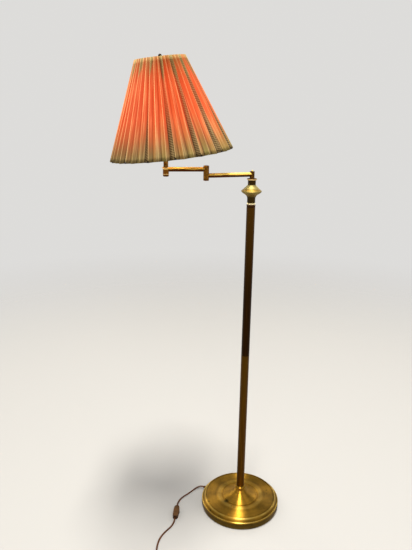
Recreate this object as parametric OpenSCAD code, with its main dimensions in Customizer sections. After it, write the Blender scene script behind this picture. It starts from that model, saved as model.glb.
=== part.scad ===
// Swing-arm floor lamp: weighted brass base, two-piece pole, two jointed arms,
// and a harp that carries a pleated shade.
// Millimetres, +Z up. The origin is on the floor, on the pole's axis.
// The arms lie towards -X and the front is towards -Y.

/* [Base] */
// Outside diameter of the base
base_d = 254; // [234:2:280]
// Thickness of the spun brass
base_wall = 1.2; // [0.8:0.1:1.6]
// Height of the rolled rim
rim_h = 25; // [22:0.5:30]
// Radius of the rolled bead on the rim
rim_bead_r = 2.2; // [1.6:0.2:2.8]
// Distance from the edge to the groove inside the raised band
band_w = 15; // [13:0.5:18]
// Height of the dish
dish_z = 34.5; // [33:0.5:40]
// Diameter of the groove round the foot of the bell
bell_d = 114; // [96:2:124]
// Height of the swell round the groove
swell_h = 2.6; // [1.5:0.1:3.5]
// Distance from the groove to the crest of the swell
swell_w = 13; // [10:0.5:16]
// Radius of the rounded step at the foot of the bell
bell_step_r = 3.2; // [2:0.2:3.6]
// Height of the flat top of the bell
bell_top = 63.5; // [58:0.5:70]
// Radius of the neck at the top of the bell
bell_neck_r = 15; // [14:0.5:16]
// Thickness of the felt pad
felt_t = 2.5; // [2:0.5:4]
// Radius of the clear space in the felt round the cord's way in
felt_hole_r = 12; // [11:1:20]
// Width of the heavy rim of the cast weight
weight_rim_w = 28; // [20:1:34]
// Height of the underside of the weight's hub
weight_hub_z = 13.5; // [13:0.5:16]
// Thickness of the weight's web
weight_web_t = 5; // [4:0.5:8]

/* [Pole] */
// Outside diameter of the pole
pole_d = 25; // [22:0.5:27]
// Wall of the pole's tubes
pole_wall = 1.2; // [0.8:0.1:1.8]
// Length of the lower tube
lower_pole_len = 483; // [300:1:600]
// Length of the upper tube
upper_pole_len = 461; // [300:1:600]
// Thickness of the coupler's flange between the tubes
coupler_flange_t = 1; // [0.6:0.2:2]
// Length of the coupler inside each tube
coupler_reach = 20; // [12:1:40]
// Length of the plug in each end of the pole
plug_len = 20; // [14:1:30]
// Height of the collar that the pole stands in
collar_h = 10.5; // [9:0.5:14]
// Radius of the collar over its bead
collar_r = 17.8; // [17:0.1:20]
// Radius of the collar's bead
collar_bead_r = 3.2; // [2.4:0.1:3.4]
// Height of the ring on top of the pole
ring_h = 9; // [6:0.5:12]

/* [Vase] */
// Radius of the vase's lower neck
vase_neck_r = 11.6; // [10:0.1:13]
// Height of the lower neck
vase_neck_h = 18.5; // [14:0.5:24]
// Height of the lower bowl
vase_bowl_h = 18; // [14:0.5:24]
// Widest radius of the vase
vase_r = 29; // [24:0.5:34]
// Height of the upper cone
vase_cone_h = 17.5; // [14:0.5:24]
// Depth of the groove turned round the upper cone
vase_groove = 0.8; // [0.4:0.1:0.9]
// Radius of the upper neck
top_neck_r = 11.2; // [10:0.1:13]
// Height of the upper neck
top_neck_h = 12.5; // [8:0.5:18]
// Wall of the vase
vase_wall = 1; // [0.8:0.1:1.4]
// Radius of the flange on the neck cap
flange_r = 14.4; // [13:0.2:17]
// Height of the neck cap
flange_h = 6.4; // [5:0.2:8]

/* [Arms] */
// Distance from the pivot's axis to the elbow's axis
inner_arm_len = 134; // [100:1:220]
// Distance from the elbow's axis to the riser's axis
outer_arm_len = 110; // [90:1:200]
// Direction of the inner arm at rest, in degrees from +X
inner_yaw = 196.5; // [180:0.5:210]
// Direction of the outer arm at rest, in degrees from +X
outer_yaw = 186.5; // [170:0.5:200]
// Outside diameter of the arm tubes
arm_d = 12.4; // [11:0.1:13]
// Wall of the arm tubes
arm_wall = 1; // [0.8:0.1:1.5]
// Outside radius of the pivot hub
hub_r = 6.8; // [6.6:0.1:8]
// Height of the pivot hub
hub_h = 18.5; // [17:0.5:24]
// Outside radius of the elbow knuckles
knuckle_r = 7.9; // [7:0.1:9]
// Height of each elbow knuckle
knuckle_h = 16.8; // [16:0.2:22]
// Outside radius of the end knuckle
end_r = 8.1; // [7:0.1:9.5]
// Height of the end knuckle
end_h = 19.6; // [18:0.2:24]
// Radius of the ring on the end knuckle
end_ring_r = 10.5; // [9.6:0.1:12]
// Height of the cap under the elbow
elbow_cap_h = 3.6; // [3:0.2:6]
// Height of the cap under the end knuckle
end_cap_h = 5.2; // [3:0.2:8]
// Outside radius of the threaded pipe
pipe_r = 4.75; // [4.5:0.05:5]
// Radius of the pipe's bore
pipe_bore_r = 3.3; // [2.8:0.1:3.5]
// Angle of the window that lets the wire out of a pipe
window_angle = 310; // [280:5:320]

/* [Head] */
// Height of the riser tube
riser_h = 24; // [16:1:60]
// Outside radius of the riser tube
riser_r = 6.5; // [6:0.1:7.4]
// Width between the harp's feet
saddle_w = 54; // [50:1:64]
// Width of the saddle's strip
saddle_strip_w = 12; // [11:0.5:15]
// Height of the harp, from the saddle to the shade's seat
harp_h = 245.6; // [215:0.2:280]
// Radius of the harp's round top
harp_bow_r = 56; // [48:1:60]
// Diameter of the harp's wire
harp_wire_d = 3.2; // [2.6:0.1:4]
// Lean of the harp towards the end of the arm
harp_lean = 3; // [0:0.1:4]
// Outside radius of the socket's shell
socket_r = 16.2; // [15.8:0.1:17.5]
// Height of the socket's cap
socket_cap_h = 20; // [18:0.5:26]
// Height of the socket's shell
socket_shell_h = 38; // [34:1:44]
// Radius of the bulb's screw cap
bulb_cap_r = 13; // [12.6:0.1:13.2]
// Height of the bulb's screw cap
bulb_cap_h = 25; // [22:0.5:27]
// Largest radius of the bulb's glass
bulb_r = 30; // [24:0.5:34]
// Height of the bulb's glass above its cap
bulb_h = 82; // [70:1:92]

/* [Shade] */
// Diameter of the shade's foot, over the pleats
shade_foot_d = 332; // [300:2:360]
// Diameter of the shade's top, over the pleats
shade_top_d = 133; // [127:1:160]
// Height of the shade along its own axis
shade_h = 245; // [215:1:248]
// Tip of the shade towards the end of the arm
shade_tip = 6.9; // [0:0.1:8]
// Number of groups of pleats
pleat_groups = 15; // [12:1:20]
// Depth of a pleat at the shade's foot
pleat_depth = 5.9; // [4:0.1:8]
// Extra depth of the last fold in each group
deep_fold = 2; // [0:0.2:3]
// Thickness of the pleated cloth and its backing
shade_wall = 0.9; // [0.7:0.1:1.2]
// Diameter of the frame's wire
frame_wire_d = 3; // [2.4:0.2:3.6]
// Drop from the shade's top edge to its seat
seat_drop = 6; // [4:0.5:10]

/* [Cord] */
// Width of the flat cord
cord_w = 5.4; // [5:0.1:6]
// Thickness of the flat cord
cord_t = 2.8; // [2.6:0.1:3.2]
// Diameter of the wire inside the lamp
wire_d = 3.4; // [2.8:0.1:3.6]
// Height of the cord's way out of the base
exit_z = 9; // [8.5:0.5:11]
// Inner radius of the coil
coil_in_r = 25.7; // [24:0.1:30]
// Turns side by side in the coil
coil_cols = 2; // [2:1:3]
// Layers of turns in the coil
coil_rows = 5; // [3:1:6]
// Length of the in-line switch
switch_l = 52; // [48:1:60]
// Width of the in-line switch
switch_w = 18; // [17:0.5:22]
// Height of the in-line switch
switch_h = 12; // [11.5:0.5:16]
// Radius of the switch's thumb wheel
wheel_r = 8; // [7.6:0.2:9]
// Thickness of the thumb wheel
wheel_t = 3.6; // [3:0.2:4]

/* [Hidden] */
$fn = 64;

// Radial clearance of a running fit, and of a piece that is screwed or pressed home
run_fit = 0.05;
still_fit = 0.05;
// Gap left between parts that slide over each other, or between soft and hard parts
slip = 0.3;

base_r = base_d / 2;
bell_r = bell_d / 2;
pole_r = pole_d / 2;
arm_r = arm_d / 2;
pipe_hole_r = pipe_r + still_fit;
wire_r = wire_d / 2;
wire_hole_r = wire_r + 1;

// Heights up the stand
weight_top = dish_z - base_wall - 0.9;
collar_floor = 2.5;
pole_z = bell_top + collar_floor;
joint_z = pole_z + lower_pole_len;
upper_pole_z = joint_z + coupler_flange_t;
pole_top = upper_pole_z + upper_pole_len;
vase_z = pole_top + ring_h;
bowl_z = vase_z + vase_neck_h;
seam_z = bowl_z + vase_bowl_h;
top_neck_z = seam_z + vase_cone_h;
cap_z = top_neck_z + top_neck_h;
hub_z = cap_z + flange_h + slip;

// Heights of the arms: each tube is centred a little above the middle of its hub
inner_arm_z = hub_z + hub_h * 0.54;
lower_knuckle_z = inner_arm_z - knuckle_h * 0.57;
upper_knuckle_z = lower_knuckle_z + knuckle_h + slip;
outer_arm_z = upper_knuckle_z + knuckle_h * 0.57;
elbow_roof_t = 3;
end_z = outer_arm_z + arm_r - end_h;
end_top = end_z + end_h;
cap_gap_z = end_z - slip;

// Axes of the elbow and the riser
elbow = inner_arm_len * [cos(inner_yaw), sin(inner_yaw)];
tip = elbow + outer_arm_len * [cos(outer_yaw), sin(outer_yaw)];

// Heights of the head
riser_z = end_top + slip;
saddle_z = riser_z + riser_h;
saddle_t = 1.6;
saddle_nut_z = saddle_z + saddle_t;
saddle_nut_h = 3.4;
socket_z = saddle_nut_z + saddle_nut_h;
shell_z = socket_z + socket_cap_h - 3;
shell_top = shell_z + socket_shell_h;
insulator_z = socket_z + socket_cap_h - 4;
insulator_h = 11;
screw_z = insulator_z + insulator_h;
bulb_z = screw_z + 1.5;
glass_z = bulb_z + bulb_cap_h;

// The shade's seat on the harp
foot_z = saddle_z + saddle_t;
harp_wire_r = harp_wire_d / 2;
stud_r = 3;
stud_h = 11;
shoulder_r = 4.6;
shoulder_h = 2.4;
seat_gap = shoulder_r * sin(shade_tip - harp_lean) + 0.04;
seat_t = 1.2;
seat_r = 9;
finial_lift = seat_gap + seat_t + seat_r * sin(shade_tip - harp_lean) * 0.6;

// Pleats: the folds keep one face width, so they are deeper where the shade is narrow
pleats = pleat_groups * 3;
shade_foot_r = shade_foot_d / 2;
shade_top_r = shade_top_d / 2;
pleat_phase = -87.3;
function half_pitch(r) = r * sin(180 / pleats);
pleat_face = norm([pleat_depth, half_pitch(shade_foot_r)]);
function fold_depth(r) = sqrt(pleat_face * pleat_face - half_pitch(r) * half_pitch(r));
function wall_in(r) = shade_wall * pleat_face / half_pitch(r);
function ring_seat_r(r) = r - fold_depth(r) - deep_fold - wall_in(r) - slip - frame_wire_d / 2;
frame_inset = 4;
rib_count = 8;
function shade_r_at(s) = shade_foot_r + (shade_top_r - shade_foot_r) * s / shade_h;
foot_ring_r = ring_seat_r(shade_r_at(frame_inset));
top_ring_r = ring_seat_r(shade_r_at(shade_h - frame_inset));

// Cord: where it leaves the base, and its route along the floor by way of the switch
exit_yaw = 150;
bushing_flange_t = 2.5;
bushing_tip_r = 3.9;
bushing_out = 13;
bushing_in = 7;
exit_r = base_r + bushing_out;
exit_point = [exit_r * cos(exit_yaw), exit_r * sin(exit_yaw), exit_z];
floor_gap = 0.2;
lie_z = floor_gap + cord_t / 2;
switch_at = [-211, -56];
switch_yaw = 265;
switch_mid = switch_h / 2;
switch_dir = [cos(switch_yaw), sin(switch_yaw)];
function on_switch_axis(d) = concat(switch_at + switch_dir * d, [switch_mid]);
cord_tuck = 2.6;
supply_route = concat([exit_point], [
    [-124, 71.6, 8.9], [-129.3, 73.8, 8.2], [-135.3, 74.6, 6.8], [-141.3, 73.8, 5.1], [-146.8, 71.5, 3.6],
    [-152.4, 67, 2.3], [-160.4, 58.1, lie_z], [-168.4, 49.2, lie_z], [-176.5, 40.3, lie_z],
    [-182.4, 34.8, lie_z], [-188, 29, lie_z], [-196, 19, lie_z],
    [-203, 7, lie_z], [-207, -5, 2], [-208.6, -15, 3.8], [-208.8, -22, 5.4]
], [on_switch_axis(-switch_l / 2 - 3), on_switch_axis(cord_tuck - switch_l / 2)]);
lead_route = concat([on_switch_axis(switch_l / 2 - cord_tuck), on_switch_axis(switch_l / 2 + 3)], [
    [-214.2, -90, 5.4], [-216, -98, 3.6], [-219.5, -108, 2], [-225, -119, lie_z], [-233, -130, lie_z],
    [-241, -141, lie_z], [-248, -153, lie_z], [-254, -166, lie_z], [-258, -180, lie_z],
    [-260.3, -194, lie_z], [-261.2, -208, lie_z],
    [-261.4, -222, lie_z], [-261.4, -236, lie_z], [-261.4, -250, lie_z], [-261.4, -265, lie_z]
]);
coil_at = [-231, -290];
coil_h = coil_rows * (cord_t + 0.1);
coil_out_r = coil_in_r + coil_cols * (cord_w + 0.2);
plug_h = 13;
plug_w = 24;
plug_l = 26;
relief_l = 20;
plug_at = [-160, -320];
plug_yaw = 8;
plug_dir = [cos(plug_yaw), sin(plug_yaw)];
tail_route = [[-222, -329.2, 12.6], [-210, -329, 10.4], [-199, -328, 8.2], [-188, -325.4, 6.8],
    concat(plug_at - plug_dir * (relief_l - 2), [plug_h / 2])];

// Helpers for outlines and swept cords

function unit(v) = v / norm(v);

// Points on an arc round c, from angle a to angle b
function arc_pts(c, r, a, b, n = 8) =
    [for (i = [0:n]) let(t = a + (b - a) * i / n) c + r * [cos(t), sin(t)]];

// Points on a curve from a to c that heads for b first
function curve_pts(a, b, c, n = 8) =
    [for (i = [0:n]) let(t = i / n) (1 - t) * (1 - t) * a + 2 * t * (1 - t) * b + t * t * c];

// A tube with a section w wide and h high along a path. side fixes the width's direction.
module swept(path, w, h, side = undef, sides = 8) {
    n = len(path);
    points = [for (i = [0:n - 1])
        let(along = unit(path[min(i + 1, n - 1)] - path[max(i - 1, 0)]),
            s = side == undef ? unit(cross([0, 0, 1], along)) : side,
            u = cross(along, s))
        for (k = [0:sides - 1]) let(t = 360 * k / sides) path[i] + s * cos(t) * w / 2 + u * sin(t) * h / 2];
    skin = [for (i = [0:n - 2], k = [0:sides - 1])
        let(a = i * sides + k, b = i * sides + (k + 1) % sides)
        each [[a, b + sides, b], [a, a + sides, b + sides]]];
    first_cap = [for (k = [0:sides - 1]) k];
    last_cap = [for (k = [sides - 1:-1:0]) (n - 1) * sides + k];
    polyhedron(points = points, faces = concat(skin, [first_cap, last_cap]));
}

// A round bar between two points in the plane y, z
module bar(a, b, r) {
    d = b - a;
    translate([0, a[0], a[1]]) rotate([-atan2(d[0], d[1]), 0, 0]) cylinder(r = r, h = norm(d));
}

// A pipe whose window lets the wire out at height win_z, open all round except behind win_yaw
module slotted_pipe(z0, z1, win_z, win_yaw, win_h = 9) {
    difference() {
        translate([0, 0, z0]) cylinder(r = pipe_r, h = z1 - z0);
        translate([0, 0, z0 - 1]) cylinder(r = pipe_bore_r, h = z1 - z0 + 2);
        translate([0, 0, win_z - win_h / 2]) rotate([0, 0, win_yaw - window_angle / 2])
            rotate_extrude(angle = window_angle) translate([pipe_bore_r - 0.5, 0]) square([pipe_r, win_h]);
    }
}

// An arm tube along +X, coped at both ends to the round bodies that it is brazed to
module arm_tube(length, start_r, finish_r) {
    difference() {
        rotate([0, 90, 0]) cylinder(r = arm_r, h = length);
        translate([-1, 0, 0]) rotate([0, 90, 0]) cylinder(r = arm_r - arm_wall, h = length + 2);
        translate([0, 0, -arm_d]) cylinder(r = start_r, h = 2 * arm_d);
        translate([length, 0, -arm_d]) cylinder(r = finish_r, h = 2 * arm_d);
    }
}

module wire_way(yaw, z) {
    translate([0, 0, z]) rotate([0, 0, yaw]) rotate([0, 90, 0]) cylinder(r = wire_hole_r, h = 2 * end_r);
}

module hex_nut(flats, h, hole_r) {
    difference() {
        cylinder(r = flats / 2 / cos(30), h = h, $fn = 6);
        translate([0, 0, -1]) cylinder(r = hole_r, h = h + 2);
    }
}

// Base

exit_hole_r = 5;

// On the axis of the cord's way out, at a distance r from the pole's axis
module at_exit(r) {
    rotate([0, 0, exit_yaw]) translate([r, 0, exit_z]) rotate([0, 90, 0]) children();
}

module base_shell() {
    r = base_r;
    w = base_wall;
    rim_c = [r - rim_bead_r, rim_h - rim_bead_r];
    crown = dish_z + 2;
    crest = dish_z + swell_h;
    crest_r = bell_r + swell_w;
    flare_foot = [bell_r - 1.4 - bell_step_r, dish_z + 1.1 + bell_step_r];
    flare_mid = [bell_neck_r + 10, dish_z + 11];
    flare_top = [bell_neck_r + 0.5, bell_top - 1.8];
    outside = concat(
        [[r - 2.4, 0.6], [r - 0.8, 7], [r - 0.8, rim_c[1] - 2.2]],
        arc_pts(rim_c, rim_bead_r, -50, 150, 8),
        [[r - 5.2, rim_h - 0.9], [r - 6, rim_h - 0.2]],
        curve_pts([r - 6.4, rim_h + 0.6], [r - 8, crown], [r - band_w, crown], 8),
        [[r - band_w - 0.8, dish_z + 0.6], [r - band_w - 1.8, dish_z + 0.4]],
        curve_pts([r - band_w - 3, dish_z + 0.9], [crest_r + 19, dish_z - 0.2], [crest_r + 9, crest - 0.9]),
        curve_pts([crest_r + 8, crest - 0.7], [crest_r, crest + 0.7], [bell_r + 1, dish_z + 0.4], 8),
        [[bell_r, dish_z]],
        arc_pts([bell_r - 0.8 - bell_step_r, dish_z + 1.2], bell_step_r, -10, 84, 6),
        curve_pts(flare_foot, flare_mid, flare_top, 14),
        [[bell_neck_r, bell_top - 1.2], [bell_neck_r, bell_top], [pipe_hole_r, bell_top]]
    );
    inside = concat(
        [[pipe_hole_r, bell_top - w], [bell_neck_r - w, bell_top - w]],
        curve_pts(flare_top - w * [0.9, 0.5], flare_mid - w * [0.7, 0.9], flare_foot - w * [0.4, 1], 12),
        [[bell_r - 3 - w, dish_z + 0.8 - w], [bell_r - 1, dish_z - w]],
        curve_pts([bell_r + 2, dish_z + 0.2 - w], [crest_r, crest + 0.5 - w],
            [crest_r + 8, crest - 0.9 - w], 6),
        curve_pts([crest_r + 9, crest - 1.1 - w], [crest_r + 19, dish_z - 0.3 - w],
            [r - band_w - 3, dish_z + 0.4 - w], 6),
        curve_pts([r - band_w, crown - 0.8 - w], [r - 9 - w, crown - 1 - w],
            [r - 7.6 - w, rim_h - 0.6 - w], 6),
        [[r - 0.8 - w, rim_c[1] - 3], [r - 0.8 - w, 7], [r - 2.4 - w, 0.6]]
    );
    color("darkgoldenrod") difference() {
        rotate_extrude() polygon(concat(outside, inside));
        at_exit(base_r - 8) cylinder(r = exit_hole_r, h = 16);
    }
}

module base_weight() {
    outer = base_r - base_wall - 3.6;
    low = felt_t + slip;
    rim_in = outer - weight_rim_w;
    hub_r2 = 17;
    color("dimgray") difference() {
        rotate_extrude() polygon([
            [pipe_hole_r, weight_hub_z], [rim_in, weight_hub_z], [rim_in, low], [outer, low],
            [outer, rim_h - 8], [base_r - base_wall - 9.4, rim_h - base_wall - 1.6],
            [base_r - band_w - 2, weight_top], [rim_in, weight_top],
            [rim_in - 3, weight_hub_z + weight_web_t], [hub_r2 + 3, weight_hub_z + weight_web_t],
            [hub_r2, weight_hub_z + 2 * weight_web_t], [pipe_hole_r, weight_hub_z + 2 * weight_web_t]
        ]);
        rotate([0, 0, exit_yaw]) translate([rim_in - 4, -6, low - 1])
            cube([weight_rim_w + 8, 12, exit_z + 6 - low]);
    }
}

module base_felt() {
    color("saddlebrown") difference() {
        cylinder(r = base_r - base_wall - 4, h = felt_t);
        translate([0, 0, -1]) cylinder(r = felt_hole_r, h = felt_t + 2);
    }
}

module cord_bushing() {
    at_exit(base_r) color("sienna") difference() {
        union() {
            translate([0, 0, -0.8]) cylinder(r1 = 7, r2 = 5.6, h = bushing_flange_t + 0.8);
            cylinder(r1 = 5.4, r2 = bushing_tip_r, h = bushing_out);
            translate([0, 0, -bushing_in]) cylinder(r = exit_hole_r - still_fit, h = bushing_in + 1);
        }
        translate([0, 0, -bushing_in - 1]) cylinder(r = cord_w / 2 + 0.3, h = bushing_in + bushing_out + 2);
    }
}

pipe_foot = 6.5;
locknut_h = 4.4;
washer_t = 1.5;

module base_pipe() {
    color("silver") difference() {
        translate([0, 0, pipe_foot]) cylinder(r = pipe_r, h = pole_z + plug_len - 4 - pipe_foot);
        cylinder(r = pipe_bore_r, h = pole_z + plug_len);
    }
}

module base_washer() {
    color("silver") translate([0, 0, weight_hub_z - washer_t]) difference() {
        cylinder(r = 13, h = washer_t);
        translate([0, 0, -1]) cylinder(r = pipe_hole_r, h = washer_t + 2);
    }
}

module base_locknut() {
    color("silver") translate([0, 0, weight_hub_z - washer_t - locknut_h])
        hex_nut(17, locknut_h, pipe_hole_r);
}

module base_collar() {
    foot_r = bell_neck_r - 0.2;
    bead_r = collar_bead_r;
    top = bell_top + collar_h;
    color("gold") rotate_extrude() polygon(concat(
        [[pipe_hole_r, bell_top], [foot_r, bell_top], [foot_r, top - 2 * bead_r - 1.2]],
        arc_pts([collar_r - bead_r, top - bead_r - 1], bead_r, -70, 84, 10),
        [[pole_r + 1.3, top - 0.5], [pole_r + 0.9, top], [pole_r + still_fit, top],
            [pole_r + still_fit, pole_z], [pipe_hole_r, pole_z]]
    ));
}

// Pole

module pole_plug() {
    difference() {
        cylinder(r = pole_r - pole_wall - still_fit, h = plug_len);
        translate([0, 0, -1]) cylinder(r = pipe_hole_r, h = plug_len + 2);
    }
}

module pole_foot_plug() {
    color("gray") translate([0, 0, pole_z]) pole_plug();
}

module pole_tube(length) {
    difference() {
        cylinder(r = pole_r, h = length);
        translate([0, 0, -1]) cylinder(r = pole_r - pole_wall, h = length + 2);
    }
}

module lower_pole() {
    color([0.26, 0.15, 0.04]) translate([0, 0, pole_z]) pole_tube(lower_pole_len);
}

module upper_pole() {
    color([0.16, 0.08, 0.02]) translate([0, 0, upper_pole_z]) pole_tube(upper_pole_len);
}

module pole_coupler() {
    sleeve_r = pole_r - pole_wall - still_fit;
    sleeve_h = 2 * coupler_reach + coupler_flange_t;
    color("gray") translate([0, 0, joint_z]) difference() {
        union() {
            translate([0, 0, -coupler_reach]) cylinder(r = sleeve_r, h = sleeve_h);
            cylinder(r = pole_r - 0.3, h = coupler_flange_t);
        }
        translate([0, 0, -coupler_reach - 1]) cylinder(r = pipe_hole_r, h = sleeve_h + 2);
    }
}

module pole_head_plug() {
    color("gray") translate([0, 0, pole_top - plug_len]) pole_plug();
}

module pole_ring() {
    r = pole_r + 0.2;
    color([0.2, 0.08, 0.03]) translate([0, 0, pole_top]) rotate_extrude() polygon(concat(
        [[pipe_hole_r, 0], [r - 1.1, 0], [r - 1.1, 0.9]],
        arc_pts([r - 1.6, 2.6], 1.6, -60, 20, 4),
        arc_pts([r - 1.6, ring_h - 2.4], 1.6, -10, 80, 5),
        [[vase_neck_r - 1, ring_h], [pipe_hole_r, ring_h]]
    ));
}

// Vase

module vase_pipe() {
    foot = pole_top - plug_len + 3;
    color("silver") difference() {
        translate([0, 0, foot]) cylinder(r = pipe_r, h = cap_z + flange_h * 0.5 - foot);
        translate([0, 0, foot - 1]) cylinder(r = pipe_bore_r, h = cap_z + flange_h - foot);
    }
}

module vase_lower() {
    r = vase_neck_r;
    w = vase_wall;
    swell = r + 6.4;
    top = seam_z - vase_z;
    bowl = vase_neck_h;
    outside = concat(
        [[pipe_hole_r, 0], [r, 0]],
        arc_pts([r - 0.7, 1.3], 1.3, -60, 70, 5),
        [[r - 0.1, 3]],
        curve_pts([r, bowl - 3], [r, bowl + 3], [swell, bowl + 8.6], 7),
        [[swell + 0.6, bowl + 8.6]],
        curve_pts([swell + 1, bowl + 9.4], [vase_r - 2, top - 5], [vase_r, top - 0.6], 7),
        [[vase_r, top]]
    );
    inside = concat(
        [[vase_r - w, top]],
        curve_pts([vase_r - w - 0.4, top - 0.8], [vase_r - w - 3, top - 4], [swell - w, bowl + 10], 6),
        curve_pts([swell - w - 1, bowl + 9], [r - w, bowl + 3], [r - w, bowl - 3], 6),
        [[r - w, w], [pipe_hole_r, w]]
    );
    color("goldenrod") translate([0, 0, vase_z]) rotate_extrude() polygon(concat(outside, inside));
}

module vase_upper() {
    r = top_neck_r;
    w = vase_wall;
    neck = vase_cone_h;
    top = vase_cone_h + top_neck_h;
    groove = [r + 0.6 * (vase_r - r), neck * 0.4];
    outside = concat(
        [[vase_r - w, 0], [vase_r, 0], [vase_r, 0.8]],
        curve_pts([vase_r - 0.6, 1.4], groove + [2.8, -3.2], groove, 5),
        [groove + [-vase_groove, 0.1], groove + [-vase_groove - 0.3, 0.8]],
        curve_pts(groove + [-0.9, 1], groove + [-5.2, 4.6], [r + 1.2, neck - 0.6], 7),
        [[r, neck + 0.4], [r, top], [pipe_hole_r, top]]
    );
    inside = concat(
        [[pipe_hole_r, top - w], [r - w, top - w], [r - w, neck]],
        curve_pts([r + 0.4 - w, neck - 1.6], [r + 7 - w, neck * 0.5], [vase_r - w - 0.8, 0.8], 7)
    );
    color("goldenrod") translate([0, 0, seam_z]) rotate_extrude() polygon(concat(outside, inside));
}

module neck_cap() {
    color("gold") translate([0, 0, cap_z]) difference() {
        rotate_extrude() polygon(concat(
            [[0, 0], [top_neck_r + 0.6, 0], [top_neck_r + 1.2, 1]],
            arc_pts([flange_r - 1.9, flange_h - 2.8], 1.9, -80, 84, 8),
            [[flange_r - 3, flange_h - 0.7], [hub_r + 2, flange_h], [0, flange_h]]
        ));
        translate([0, 0, -1]) cylinder(r = pipe_hole_r, h = flange_h + 2);
    }
}

module pivot_post() {
    foot = cap_z + flange_h * 0.5 + 0.2;
    top = hub_z + hub_h - 2.4;
    color("silver") union() {
        slotted_pipe(foot, top, inner_arm_z, inner_yaw);
        difference() {
            translate([0, 0, top - 2.6]) cylinder(r = pipe_bore_r + 0.2, h = 2.6);
            translate([0, 0, top - 4]) cylinder(r = hub_screw_r + still_fit, h = 6);
        }
    }
}

hub_screw_r = 1.5;

module hub_screw() {
    top = hub_z + hub_h;
    color("gold") translate([0, 0, top + slip]) {
        translate([0, 0, -5 - slip]) cylinder(r = hub_screw_r, h = 5.2 + slip);
        rotate_extrude() polygon(concat(
            [[0, 0], [2.8, 0], [2.8, 1]], curve_pts([2.6, 1.4], [2.2, 2.6], [1.4, 3.1], 4), [[0, 3.3]]));
    }
}

// Wire in the base, the pole and the vase, as far as the pivot
module pole_wire() {
    bend = 5;
    across = [-sin(exit_yaw), cos(exit_yaw), 0];
    low = felt_t + wire_r + slip;
    function out(r, z) = [r * cos(exit_yaw), r * sin(exit_yaw), z];
    route = concat(
        [out(exit_r - slip, exit_z), out(base_r - 12, exit_z), out(base_r - 26, exit_z - 1.5),
            out(base_r - 50, low), out(bend + 10, low)],
        [for (i = [0:5]) let(a = 270 - 90 * i / 5) out(bend + bend * cos(a), low + bend + bend * sin(a))],
        [[0, 0, inner_arm_z - wire_r - slip]]
    );
    color("saddlebrown") swept(route, wire_d, wire_d, across);
}

// Inner arm

module pivot_hub() {
    color("goldenrod") difference() {
        translate([0, 0, hub_z]) cylinder(r = hub_r, h = hub_h);
        translate([0, 0, hub_z - 1]) cylinder(r = pipe_r + run_fit, h = hub_h - 1.2);
        translate([0, 0, hub_z]) cylinder(r = hub_screw_r + slip, h = hub_h + 1);
        wire_way(inner_yaw, inner_arm_z);
    }
}

module inner_arm_tube() {
    color("goldenrod") translate([0, 0, inner_arm_z]) rotate([0, 0, inner_yaw])
        arm_tube(inner_arm_len, hub_r, knuckle_r);
}

module elbow_lower_knuckle() {
    color("goldenrod") translate([elbow[0], elbow[1], 0]) difference() {
        translate([0, 0, lower_knuckle_z]) cylinder(r = knuckle_r, h = knuckle_h);
        translate([0, 0, lower_knuckle_z - 1]) cylinder(r = pipe_r + run_fit, h = knuckle_h + 2);
        wire_way(inner_yaw + 180, inner_arm_z);
    }
}

module inner_arm_wire() {
    along = [cos(inner_yaw), sin(inner_yaw), 0];
    across = [-sin(inner_yaw), cos(inner_yaw), 0];
    start = [0, 0, inner_arm_z];
    color("saddlebrown") swept([start, start + along * inner_arm_len], wire_d, wire_d, across);
}

// Outer arm

module elbow_upper_knuckle() {
    color("goldenrod") translate([elbow[0], elbow[1], 0]) difference() {
        translate([0, 0, upper_knuckle_z]) rotate_extrude() polygon([
            [0, 0], [knuckle_r, 0], [knuckle_r, knuckle_h + 2], [knuckle_r - 1, knuckle_h + elbow_roof_t],
            [0, knuckle_h + elbow_roof_t]
        ]);
        translate([0, 0, upper_knuckle_z - 1]) cylinder(r = pipe_hole_r, h = knuckle_h + 1);
        wire_way(outer_yaw, outer_arm_z);
    }
}

module elbow_pin() {
    color("silver") translate([elbow[0], elbow[1], 0])
        slotted_pipe(lower_knuckle_z - elbow_cap_h + 1, upper_knuckle_z + 4, inner_arm_z, outer_yaw + 180);
}

// Turned cap screwed up the foot of a pipe, with a bead round its top
module foot_cap(r, top, h) {
    translate([0, 0, top - h]) rotate_extrude() polygon(concat(
        [[0, 0], [r - 1, 0], [r - 0.2, 0.9], [r - 0.2, h - 2.2]],
        arc_pts([r - 0.7, h - 1.2], 1, -60, 75, 5),
        [[r - 0.6, h], [pipe_hole_r, h], [pipe_hole_r, 0.8], [0, 0.8]]
    ));
}

module elbow_cap() {
    color("goldenrod") translate([elbow[0], elbow[1], 0])
        foot_cap(knuckle_r, lower_knuckle_z - slip, elbow_cap_h);
}

module end_knuckle_body() {
    ring_t = 3.6;
    rotate_extrude() polygon(concat(
        [[0, end_z], [end_r, end_z], [end_r, end_top - ring_t]],
        arc_pts([end_ring_r - 1.6, end_top - 1.6], 1.6, -90, 80, 7),
        [[end_r, end_top], [0, end_top]]
    ));
}

module outer_arm_tube() {
    color("goldenrod") difference() {
        translate([elbow[0], elbow[1], outer_arm_z]) rotate([0, 0, outer_yaw])
            arm_tube(outer_arm_len, knuckle_r, end_r);
        translate([tip[0], tip[1], 0]) end_knuckle_body();
    }
}

module end_knuckle() {
    color("goldenrod") translate([tip[0], tip[1], 0]) difference() {
        end_knuckle_body();
        translate([0, 0, end_z - 1]) cylinder(r = pipe_r + run_fit, h = end_h + 2);
        wire_way(outer_yaw + 180, outer_arm_z);
    }
}

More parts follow.
